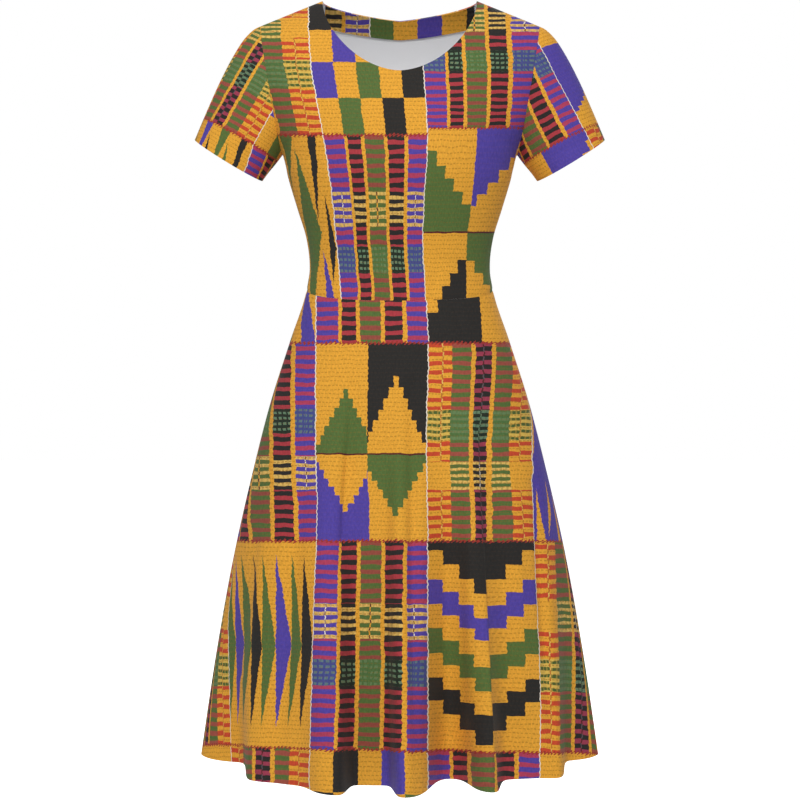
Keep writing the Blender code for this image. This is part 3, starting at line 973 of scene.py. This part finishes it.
def even_rows(count, length):
    """Shares of a length, evenly spaced, with closer rows just inside each end for the seams."""
    edge = EDGE_DEEP / length
    near = edge * (np.arange(EDGE_ROWS) / EDGE_ROWS) ** EDGE_CROWDING
    middle = np.linspace(edge, 1.0 - edge, count)
    return np.concatenate([near, middle, 1.0 - near[::-1]])


# Soft troughs and ridges pressed into a piece: where each starts and ends, across and in height,
# and how wide and how deep it is. A negative depth is a ridge.
BODICE_CREASES = {
    FRONT: (
        # from x, from z, to x, to z, width, depth
        (-0.150, -0.200, -0.090, -0.165, 0.016, 0.0016),
        (-0.146, -0.216, -0.098, -0.205, 0.011, 0.0011),
        (0.151, -0.202, 0.096, -0.172, 0.017, 0.0015),
        (0.146, -0.222, 0.105, -0.214, 0.010, 0.0010),
        (-0.112, -0.352, -0.062, -0.338, 0.010, 0.0012),
        (-0.108, -0.366, -0.050, -0.372, 0.008, 0.0009),
        (0.112, -0.356, 0.058, -0.344, 0.011, 0.0012),
        (0.040, -0.389, 0.046, -0.352, 0.007, 0.0009),
        (-0.030, -0.391, -0.036, -0.350, 0.009, 0.0010),
        (0.004, -0.392, 0.001, -0.362, 0.006, 0.0007),
        (-0.060, -0.300, -0.052, -0.240, 0.020, 0.0012),
        (0.064, -0.310, 0.050, -0.236, 0.022, 0.0013),
    ),
    BACK: (
        (-0.148, -0.204, -0.084, -0.176, 0.017, 0.0015),
        (0.150, -0.206, 0.092, -0.182, 0.016, 0.0014),
        (-0.106, -0.330, 0.020, -0.340, 0.012, 0.0018),
        (0.108, -0.318, -0.014, -0.322, 0.011, 0.0016),
        (-0.100, -0.352, -0.030, -0.361, 0.009, 0.0013),
        (0.094, -0.346, 0.036, -0.358, 0.010, 0.0012),
        (-0.020, -0.250, 0.030, -0.256, 0.016, 0.0012),
        (0.030, -0.376, 0.034, -0.350, 0.007, 0.0009),
    ),
}


# How deep a crease still is at its ends, from which share it counts, and how sharp it is
CREASE_END = 0.35
CREASE_TIP = 0.05
CREASE_SHARPNESS = 2.0


def creased(grid, normals, creases):
    """The grid with each crease pressed in along the cloth's normals."""
    pressed = np.zeros(grid.shape[:2])
    for from_x, from_z, to_x, to_z, width, depth in creases:
        run = np.array([to_x - from_x, to_z - from_z])
        off_x, off_z = grid[..., 0] - from_x, grid[..., 2] - from_z
        share = np.clip((off_x * run[0] + off_z * run[1]) / (run @ run), 0.0, 1.0)
        distance = np.hypot(off_x - share * run[0], off_z - share * run[1])
        swell = np.sin(math.pi * np.clip(share, CREASE_TIP, 1.0 - CREASE_TIP))
        fade = CREASE_END + (1.0 - CREASE_END) * swell
        pressed += depth * fade * np.exp(-((distance / width) ** 2) * CREASE_SHARPNESS)
    return grid - normals * pressed[..., None]


SEAM_DIP = 0.0009
SEAM_REACH = 0.0028


def dipped(grid, normals, edges, share):
    """The grid with its sewn edges rolled in a little, as a seam pulls them."""
    dip = np.zeros(grid.shape[:2])
    from_start = travelled(np.linalg.norm(np.diff(grid, axis=0), axis=-1), axis=0)
    from_left = travelled(np.linalg.norm(np.diff(grid, axis=1), axis=-1), axis=1)
    distances = {
        "start": from_start,
        "left": from_left,
        "right": from_left[:, -1:] - from_left,
    }
    for edge in edges:
        dip = np.maximum(dip, SEAM_DIP * np.exp(-((distances[edge] / SEAM_REACH) ** 2)))
    return grid - normals * (dip * share)[..., None]


SHARP_DEGREES = 50.0


def cloth_piece(name, outer, normals, prints, wall=WALL, around=False):
    """A thin shell of jersey, printed outside and white inside, in the place of its CAD solid."""
    rows, columns = outer.shape[:2]
    points = np.concatenate([outer.reshape(-1, 3), (outer - normals * wall).reshape(-1, 3)])
    faces = []
    uvs = []
    inside = []

    def vertex(row, column, layer):
        return layer * rows * columns + row * columns + column % columns

    def add_faces(corners, is_inside):
        """A face for each set of four corners, given by row, column and layer."""
        faces.append(np.stack([vertex(*corner) for corner in corners], axis=-1))
        uvs.append(np.stack([prints[row, column] for row, column, _ in corners], axis=1))
        inside.append(np.full(len(faces[-1]), is_inside))

    def add_edge(start, stop):
        """The cut faces of an edge, from the outer layer to the inner one."""
        add_faces([(*start, 0), (*stop, 0), (*stop, 1), (*start, 1)], 0)

    across = np.arange(columns if around else columns - 1)
    up = np.arange(rows - 1)
    row, column = (places.ravel() for places in np.meshgrid(up, across, indexing="ij"))
    corners = ((row, column), (row, column + 1), (row + 1, column + 1), (row + 1, column))
    for layer in (0, 1):
        add_faces([(*corner, layer) for corner in corners], layer)
    for last in (0, rows - 1):
        add_edge((last, across), (last, across + 1))
    if not around:
        for last in (0, columns - 1):
            add_edge((up, last), (up + 1, last))
    mesh = bpy.data.meshes.new(name)
    mesh.from_pydata(points.tolist(), [], np.concatenate(faces).tolist())
    uv_layer = mesh.uv_layers.new(name=UV_NAME)
    uv_layer.data.foreach_set("uv", np.concatenate(uvs).ravel())
    mesh.polygons.foreach_set("material_index", np.concatenate(inside))
    mesh.materials.append(printed_face)
    mesh.materials.append(white_back)
    skin = bmesh.new()
    skin.from_mesh(mesh)
    bmesh.ops.recalc_face_normals(skin, faces=skin.faces[:])
    skin.to_mesh(mesh)
    skin.free()
    mesh.shade_smooth()
    mesh.set_sharp_from_angle(angle=math.radians(SHARP_DEGREES))
    piece = bpy.data.objects.new(name + "_cloth", mesh)
    scene.collection.objects.link(piece)
    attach(piece, "root")
    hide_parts(name)
    return piece


BODICE_TURNS = np.linspace(-1.0, 1.0, 253)
# The bodice's rows, up to the underarms and then up the armholes
ARMHOLE_ROWS = 72
ARMHOLE_CLIMBS = (1.0 - np.cos(math.pi * np.arange(ARMHOLE_ROWS + 1) / ARMHOLE_ROWS)) / 2
LOWER_LENGTH = 0.18
LOWER_SHARES = even_rows(48, LOWER_LENGTH)[:-1]
LOWER_ROWS = len(LOWER_SHARES)
BODICE_ROWS = np.concatenate([LOWER_SHARES, 1.0 + ARMHOLE_CLIMBS])
SIDE_DIP_FADE = 0.010

# The sleeves' form
# The armholes take it, so it comes before the bodice is made. Its sections run from the armhole to
# the sleeve's end, which is an even oval.
SLEEVE_SECTIONS = (
    # share, top across, top height, underside across, underside height, how far it is round
    (0.00, SHOULDER_HALF_WIDTH, SHOULDER_POINT_Z, UNDERARM_HALF_WIDTH, UNDERARM_Z, 0.00),
    (0.06, 0.1868, -0.0350, 0.1543, -0.2010, 0.04),
    (0.20, 0.1995, -0.0460, 0.1575, -0.2055, 0.20),
    (0.40, 0.2160, -0.0705, 0.1628, -0.2125, 0.48),
    (0.60, 0.2325, -0.1020, 0.1682, -0.2190, 0.72),
    (0.80, 0.2490, -0.1385, 0.1733, -0.2255, 0.90),
    (1.00, 0.2662, -0.1790, 0.1785, -0.2328, 1.00),
)
END_HALF_DEPTH = 0.046
END_TILT = 0.16
RING_SIDES = np.array([FRONT] * (ARMHOLE_ROWS + 1) + [BACK] * (ARMHOLE_ROWS - 1))
RING_CLIMBS = np.concatenate([ARMHOLE_CLIMBS, ARMHOLE_CLIMBS[-2:0:-1]])


def sleeve_ring(share):
    """A ring of left sleeve points, up its front from the underarm and down its back."""
    columns = range(1, len(SLEEVE_SECTIONS[0]))
    sizes = (along(SLEEVE_SECTIONS, share, column) for column in columns)
    top_x, top_z, under_x, under_z, roundness = sizes
    climbs = RING_CLIMBS
    across = under_x + (top_x - under_x) * climbs
    height = under_z + (top_z - under_z) * climbs
    armhole_x = UNDERARM_HALF_WIDTH * (1.0 - climbs) + SHOULDER_HALF_WIDTH * climbs
    armhole_z = UNDERARM_Z * (1.0 - climbs) + SHOULDER_POINT_Z * climbs
    front_depth = body_depth(FRONT, armhole_x, armhole_z)
    back_depth = body_depth(BACK, armhole_x, armhole_z)
    armhole_depth = np.where(RING_SIDES == FRONT, front_depth, back_depth)
    end_depth = END_HALF_DEPTH * 2.0 * np.sqrt(climbs * (1.0 - climbs))
    depth = armhole_depth * (1.0 - roundness) + end_depth * roundness
    y = np.where(RING_SIDES == FRONT, -depth, depth)
    return np.stack([-across, y, height + END_TILT * y * roundness], axis=-1)


def tube_normals(grid):
    """Unit normals of the left sleeve's rings of points, which run up from its end."""
    around = np.roll(grid, -1, axis=1) - np.roll(grid, 1, axis=1)
    return unit(np.cross(np.gradient(grid, axis=0), around))


def armhole_places(side):
    """Where round the sleeve each point of one side's armhole is, from the underarm up."""
    if side == FRONT:
        return np.arange(ARMHOLE_ROWS + 1)
    return np.concatenate([[0], np.arange(2 * ARMHOLE_ROWS - 1, ARMHOLE_ROWS - 1, -1)])


# The sleeve's share from which its run at the armhole is taken
NEXT_TO_ARMHOLE = 0.03
# How much the front and the back each count where both meet
SHARED = 0.5


def armhole_seam():
    """The left armhole: its points, its mitred normals and the steps across it to the sleeve."""
    sleeve = np.array([sleeve_ring(share) for share in (NEXT_TO_ARMHOLE, 0.0)])
    seam = sleeve[-1]
    mitres = tube_normals(sleeve)[-1]
    for side in (FRONT, BACK):
        edge = bodice_grid(side, BODICE_TURNS[:1], 1.0 + ARMHOLE_CLIMBS)
        places = armhole_places(side)
        share = np.where(np.isin(places, (0, ARMHOLE_ROWS)), SHARED, 1.0)
        mitres[places] += slope_normals(side, body_depth, edge)[:, 0] * share[:, None]
    mitres[[0, ARMHOLE_ROWS], 1] = 0.0
    mitres = unit(mitres)
    along_seam = np.roll(seam, -1, axis=0) - np.roll(seam, 1, axis=0)
    steps = unit(np.cross(along_seam, mitres)) * (SEAM_GAP / 2)
    return seam, mitres, steps * -np.sign(steps[:, :1])


def square_edge(points, normals, edge, axis, step):
    """Moves an edge's points by a step along one axis, and makes its cut face square to it."""
    points[(*edge, axis)] += step
    normals[(*edge, axis)] = 0.0
    normals[edge] = unit(normals[edge])


def make_bodice(name, side, prints):
    grid = bodice_grid(side, BODICE_TURNS, BODICE_ROWS)
    normals = slope_normals(side, body_depth, grid)
    printed = prints(grid)
    outer = creased(grid, normals, BODICE_CREASES[side])
    below_arm = np.clip((UNDERARM_Z - grid[..., 2]) / SIDE_DIP_FADE, 0.0, 1.0)
    outer = dipped(outer, normals, ("start",), 1.0)
    outer = dipped(outer, normals, ("left", "right"), below_arm)
    half_gap = OUT[side] * SEAM_GAP / 2
    square_edge(outer, normals, np.s_[0, :], 2, SEAM_GAP / 2)
    on_shoulder = np.abs(BODICE_TURNS) >= NECK_END
    for edge in (np.s_[:LOWER_ROWS, 0], np.s_[:LOWER_ROWS, -1], np.s_[-1, on_shoulder]):
        square_edge(outer, normals, edge, 1, half_gap)
    seam, mitres, steps = armhole_seam()
    places = armhole_places(side)
    for last, mirror in ((0, 1.0), (-1, -1.0)):
        flip = np.array([mirror, 1.0, 1.0])
        outer[LOWER_ROWS:, last] = (seam[places] - steps[places]) * flip
        normals[LOWER_ROWS:, last] = mitres[places] * flip
        outer[[LOWER_ROWS, -1], last, 1] += half_gap
    cloth_piece(name, outer, normals, printed)


make_bodice("front_bodice", FRONT, front_bodice_print)
make_bodice("back_bodice", BACK, back_bodice_print)

# The skirt
# A flared front and back, sewn to the bodice at the waist and to each other at the sides. The
# jersey falls in a few deep soft folds that die away at the hip, and its hem lifts at the corners.
HEM_CORNER_LIFT = 0.0050
HEM_CORNER_POWER = 16
# Trial places along the hem for each of the skirt's columns
HEM_FINENESS = 20
HEM_AT, HIP_AT, DEEPER, SOFTNESS, START_Z = range(5)
HIP_Z = -0.600
FOLD_GROWTH = 1.3
# How much softer a fold is where it starts than at the hem
START_SOFTNESS = 2.5
FOLDS = {
    FRONT: (
        # place at hem, place at hip, share deeper after it, softness, start height
        (-1.200, -1.200, -0.700, 0.020, -0.560),
        (-0.745, -0.960, 0.070, 0.020, -0.560),
        (-0.405, -0.520, 0.340, 0.055, -0.480),
        (-0.243, -0.330, -0.010, 0.020, -0.440),
        (-0.024, -0.040, 0.375, 0.020, -0.460),
        (0.140, 0.160, -0.235, 0.048, -0.430),
        (0.335, 0.425, 0.310, 0.052, -0.460),
        (0.478, 0.575, -0.110, 0.020, -0.420),
        (0.700, 0.800, 0.060, 0.060, -0.600),
        (0.800, 0.960, -0.760, 0.020, -0.560),
    ),
    BACK: (
        (-1.200, -1.200, 0.060, 0.030, -0.560),
        (-0.860, -0.930, -0.200, 0.045, -0.540),
        (-0.640, -0.740, 0.200, 0.045, -0.480),
        (-0.455, -0.540, -0.180, 0.022, -0.450),
        (-0.215, -0.275, 0.230, 0.040, -0.440),
        (-0.020, -0.030, -0.230, 0.024, -0.430),
        (0.200, 0.250, 0.240, 0.042, -0.450),
        (0.420, 0.510, -0.140, 0.024, -0.440),
        (0.640, 0.740, 0.180, 0.046, -0.500),
        (0.850, 0.925, 0.040, 0.040, -0.540),
    ),
}
SKIRT_COLUMNS = 300
SKIRT_LENGTH = 0.61
SKIRT_ROWS = even_rows(112, SKIRT_LENGTH)
SKIRT_CREASES = {
    FRONT: (
        # from x, from z, to x, to z, width, depth
        (-0.060, -0.398, -0.070, -0.450, 0.010, 0.0014),
        (-0.020, -0.402, -0.026, -0.446, 0.008, 0.0010),
        (0.022, -0.402, 0.030, -0.462, 0.011, 0.0015),
        (0.066, -0.398, 0.082, -0.440, 0.009, 0.0011),
        (-0.058, -0.500, -0.070, -0.720, 0.011, 0.0064),
        (0.014, -0.500, 0.022, -0.975, 0.012, 0.0066),
        (0.104, -0.560, 0.126, -0.975, 0.014, 0.0096),
        (-0.124, -0.640, -0.152, -0.975, 0.016, 0.0072),
        (-0.178, -0.660, -0.200, -0.860, 0.011, 0.0038),
        (0.170, -0.620, 0.190, -0.975, 0.011, 0.0066),
        (-0.088, -0.560, -0.100, -0.975, 0.016, -0.0043),
        (-0.006, -0.600, 0.000, -0.975, 0.014, -0.0038),
        (0.082, -0.560, 0.092, -0.975, 0.014, -0.0049),
        (0.140, -0.620, 0.160, -0.975, 0.014, -0.0038),
        (0.056, -0.640, 0.060, -0.930, 0.012, 0.0032),
    ),
    BACK: (
        (-0.056, -0.384, -0.066, -0.450, 0.010, 0.0014),
        (0.012, -0.386, 0.010, -0.440, 0.009, 0.0012),
        (0.062, -0.384, 0.078, -0.446, 0.010, 0.0013),
        (-0.110, -0.520, -0.140, -0.840, 0.017, 0.0061),
        (-0.034, -0.540, -0.040, -0.975, 0.015, 0.0058),
        (0.036, -0.560, 0.048, -0.940, 0.016, 0.0067),
        (0.122, -0.540, 0.156, -0.975, 0.017, 0.0064),
        (-0.076, -0.580, -0.088, -0.975, 0.014, -0.0041),
        (0.080, -0.560, 0.096, -0.975, 0.015, -0.0043),
        (0.182, -0.640, 0.206, -0.900, 0.013, 0.0043),
        (-0.170, -0.620, -0.196, -0.900, 0.013, -0.0035),
    ),
}


def fold_place(fold, height):
    """Where a fold's side is at a height, as a share of the half width."""
    return fold[HIP_AT] + (fold[HEM_AT] - fold[HIP_AT]) * ramp(height, HIP_Z, HEM_Z)


def fold_depth(side, place, height):
    """How much deeper the folds make the cloth, as a share of the smooth skirt's depth."""
    deeper = np.zeros_like(place)
    before = 0.0
    for fold in FOLDS[side]:
        grown = ramp(height, fold[START_Z], HEM_Z) ** FOLD_GROWTH
        reach = fold[SOFTNESS] * (START_SOFTNESS - (START_SOFTNESS - 1.0) * grown)
        passed = (1.0 + np.tanh((place - fold_place(fold, height)) / reach)) / 2
        deeper += (fold[DEEPER] - before) * grown * passed
        before = fold[DEEPER]
    return deeper


def cloth_depth(side, across, height):
    """The body's depth with the skirt's folds on it."""
    place = across / along(BODY_SECTIONS, height, HALF_WIDTH)
    return body_depth(side, across, height) * (1.0 + fold_depth(side, place, height))


def skirt_row(side, hem_places, row):
    """A row of skirt points, at row 0 on the waist seam and at row 1 on the hem."""
    inner = [fold for fold in FOLDS[side] if abs(fold[HEM_AT]) < 1.0]
    level = WAIST_SIDE_Z * (1.0 - row) + HEM_Z * row
    strands = [-1.0] + [fold[HEM_AT] for fold in inner] + [1.0]
    strand_places = [-1.0] + [fold_place(fold, level) for fold in inner] + [1.0]
    places = np.interp(hem_places, strands, strand_places)
    lifted = HEM_Z + HEM_CORNER_LIFT * np.abs(hem_places) ** HEM_CORNER_POWER
    height = waist_height(side, places) * (1.0 - row) + lifted * row
    across = places * along(BODY_SECTIONS, height, HALF_WIDTH)
    depth = cloth_depth(side, across, height)
    return np.stack([across, OUT[side] * depth, height], axis=-1)


def hem_places(side):
    """Places on the hem, shared out by the cloth's length and closer where it turns."""
    turns = np.linspace(-1.0, 1.0, HEM_FINENESS * SKIRT_COLUMNS + 1)
    places = round_place(turns)
    steps = np.diff(skirt_row(side, places, 1.0)[:, :2], axis=0)
    lengths = np.hypot(steps[:, 0], steps[:, 1])
    headings = np.unwrap(np.arctan2(steps[:, 1], steps[:, 0]))
    bends = np.abs(np.gradient(headings))
    effort = travelled(lengths / lengths.sum() + bends / bends.sum())
    return np.interp(np.linspace(0.0, effort[-1], SKIRT_COLUMNS + 1), effort, places)


# The strips' edges on the front skirt, as seen. Its folds take some of the print out of sight.
SKIRT_LINES = (
    # height, width left of the first line, and where the lines at the next U values are
    (-0.3874, 0.146, -0.2550, -0.2185, -0.1819, -0.1088, 0.0348, 0.1734, 0.2320),
    (-0.4459, 0.146, -0.2550, -0.2185, -0.1819, -0.1091, 0.0370, 0.1785, 0.2370),
    (-0.5668, 0.146, -0.2540, -0.2180, -0.1817, -0.1095, 0.0348, 0.1726, 0.2310),
    (-0.6994, 0.100, -0.2350, -0.2110, -0.1795, -0.1065, 0.0366, 0.1785, 0.2330),
    (-0.7300, 0.074, -0.2262, -0.2072, -0.1784, -0.1080, 0.0366, 0.1793, 0.2345),
    (-0.8034, 0.072, -0.2258, -0.2070, -0.1784, -0.1098, 0.0364, 0.1817, 0.2377),
    (-0.8814, 0.072, -0.2258, -0.2072, -0.1790, -0.1112, 0.0369, 0.1839, 0.2400),
    (-0.9900, 0.072, -0.2265, -0.2078, -0.1800, -0.1150, 0.0367, 0.1830, 0.2420),
)
SKIRT_LINE_US = (0.0, 0.25, 0.5, 1.0, 2.0, 3.0, 3.5)
FOLLOW_DEPTH = 0.85
# The lowest rows lean, and lie lower towards the right
ROW_LEAN = 0.024
LEAN_STARTS_Z = -0.700


def skirt_print(side, grid):
    """The skirt's print, which hangs in the folds and keeps its rows level."""
    heights = grid[..., 2]
    smooth = body_depth(side, grid[..., 0], heights)
    depth = smooth + (np.abs(grid[..., 1]) - smooth) * FOLLOW_DEPTH
    lean = ROW_LEAN * ramp(heights, LEAN_STARTS_Z, HEM_Z)
    if side == FRONT:
        seen = seen_height(depth, heights)
        u = u_between(seen_across(FRONT, grid), seen, SKIRT_LINES, SKIRT_LINE_US)
    else:
        u = back_u(grid)
    return np.stack([u, print_rows(depth, heights + lean * grid[..., 0])], axis=-1)


def make_skirt(name, side):
    places = hem_places(side)
    grid = np.array([skirt_row(side, places, row) for row in SKIRT_ROWS])
    normals = slope_normals(side, cloth_depth, grid)
    printed = skirt_print(side, grid)
    outer = creased(grid, normals, SKIRT_CREASES[side])
    outer = dipped(outer, normals, ("start", "left", "right"), 1.0)
    square_edge(outer, normals, np.s_[0, :], 2, -SEAM_GAP / 2)
    for edge in (np.s_[:, 0], np.s_[:, -1]):
        square_edge(outer, normals, edge, 1, OUT[side] * SEAM_GAP / 2)
    cloth_piece(name, outer, normals, printed)


make_skirt("front_skirt", FRONT)
make_skirt("back_skirt", BACK)

# The sleeves
# Each is one short piece, set into the armhole and closed by a seam underneath. Its print is the
# same patchwork, a little smaller and turned to run down the sleeve.
SLEEVE_LENGTH = 0.105
SLEEVE_SHARES = even_rows(56, SLEEVE_LENGTH)
SLEEVE_CREASES = (
    # from x, from z, to x, to z, width, depth
    (-0.170, -0.186, -0.198, -0.150, 0.010, 0.0014),
    (-0.176, -0.200, -0.208, -0.176, 0.008, 0.0010),
    (-0.196, -0.084, -0.222, -0.130, 0.014, 0.0012),
    (-0.196, -0.206, -0.232, -0.190, 0.009, 0.0010),
)
SLEEVE_PRINTS = {
    # how far the print leans in degrees, where its white line lies and that line's U, a point's
    # real size, how far above the sleeve's end the rows of panels meet, which way the panels run,
    # how much the line turns in below that meeting
    "left_sleeve": (30.0, 0.0655, 1.0, 0.00104, 0.0300, -1.0, 0.2),
    "right_sleeve": (28.0, 0.1272, 3.0, 0.00116, 0.0240, 1.0, 0.0),
}


def sleeve_print(grid, lean, line_at, line_u, point, seam_up, away, turn_in):
    """Across the sleeve by the cloth round it, and down it along its lean."""
    lean = math.radians(lean)
    outward, height, y = -grid[..., 0], grid[..., 2], grid[..., 1]
    across = outward * math.cos(lean) + height * math.sin(lean)
    down = outward * math.sin(lean) - height * math.cos(lean)
    half = grid.shape[1] // 2
    across, down, y = (np.pad(part, ((0, 0), (0, 1)), "wrap") for part in (across, down, y))
    lengths = travelled(np.hypot(np.diff(across, axis=1), np.diff(y, axis=1)))
    at_line = np.array([
        np.interp(line_at, front, length)
        for front, length in zip(across[:, :half], lengths[:, :half])
    ])
    past_seam = down - down[0].mean() + seam_up
    inward = turn_in * np.maximum(past_seam, 0.0)
    u = line_u + away * (lengths + inward - at_line[:, None]) / (point * PANEL_WIDE)
    v = 1.0 + past_seam / (point * PANEL_DEEP)
    return np.stack([u, v], axis=-1)


def make_sleeve(name, mirror):
    grid = np.array([sleeve_ring(share) for share in 1.0 - SLEEVE_SHARES])
    normals = tube_normals(grid)
    printed = sleeve_print(grid, *SLEEVE_PRINTS[name])
    outer = creased(grid, normals, SLEEVE_CREASES)
    seam, mitres, steps = armhole_seam()
    outer[-1] = seam + steps
    normals[-1] = mitres
    flip = np.array([mirror, 1.0, 1.0])
    cloth_piece(name, outer * flip, normals * flip, printed, around=True)


make_sleeve("left_sleeve", 1.0)
make_sleeve("right_sleeve", -1.0)

# The back neck facing
# A band of the same jersey inside the back neck, which shows through the open neck. It is sewn to
# the neck's edge with its printed side in.
FACING_WALL = 0.0010
FACING_GAP = 0.0003
FACING_REACH = 8.0 / 14.0
FACING_LOWEST = 7.0 / 9.0
FACING_COLUMNS = 141
FACING_ROWS = 20
FACING_LINE_X = -0.0402
FACING_LINE_U = 2.0
FACING_MIDDLE_Z = -0.020
FACING_V = 0.325
FACING_PANEL = 0.1607
FACING_ROW = 0.25

lowest = (1.0 - math.cos(math.pi * FACING_LOWEST)) / 2
facing = bodice_grid(
    BACK,
    np.linspace(-FACING_REACH, FACING_REACH, FACING_COLUMNS),
    1.0 + np.linspace(lowest, 1.0, FACING_ROWS),
)
normals = slope_normals(BACK, body_depth, facing)
u = FACING_LINE_U - (facing[..., 0] - FACING_LINE_X) / FACING_PANEL
v = FACING_V - (facing[..., 2] - FACING_MIDDLE_Z) / FACING_ROW
piece = cloth_piece(
    "back_neck_facing",
    facing - normals * (WALL + FACING_GAP),
    normals,
    np.stack([u, v], axis=-1),
    wall=FACING_WALL,
)
piece.data.materials[1] = printed_face
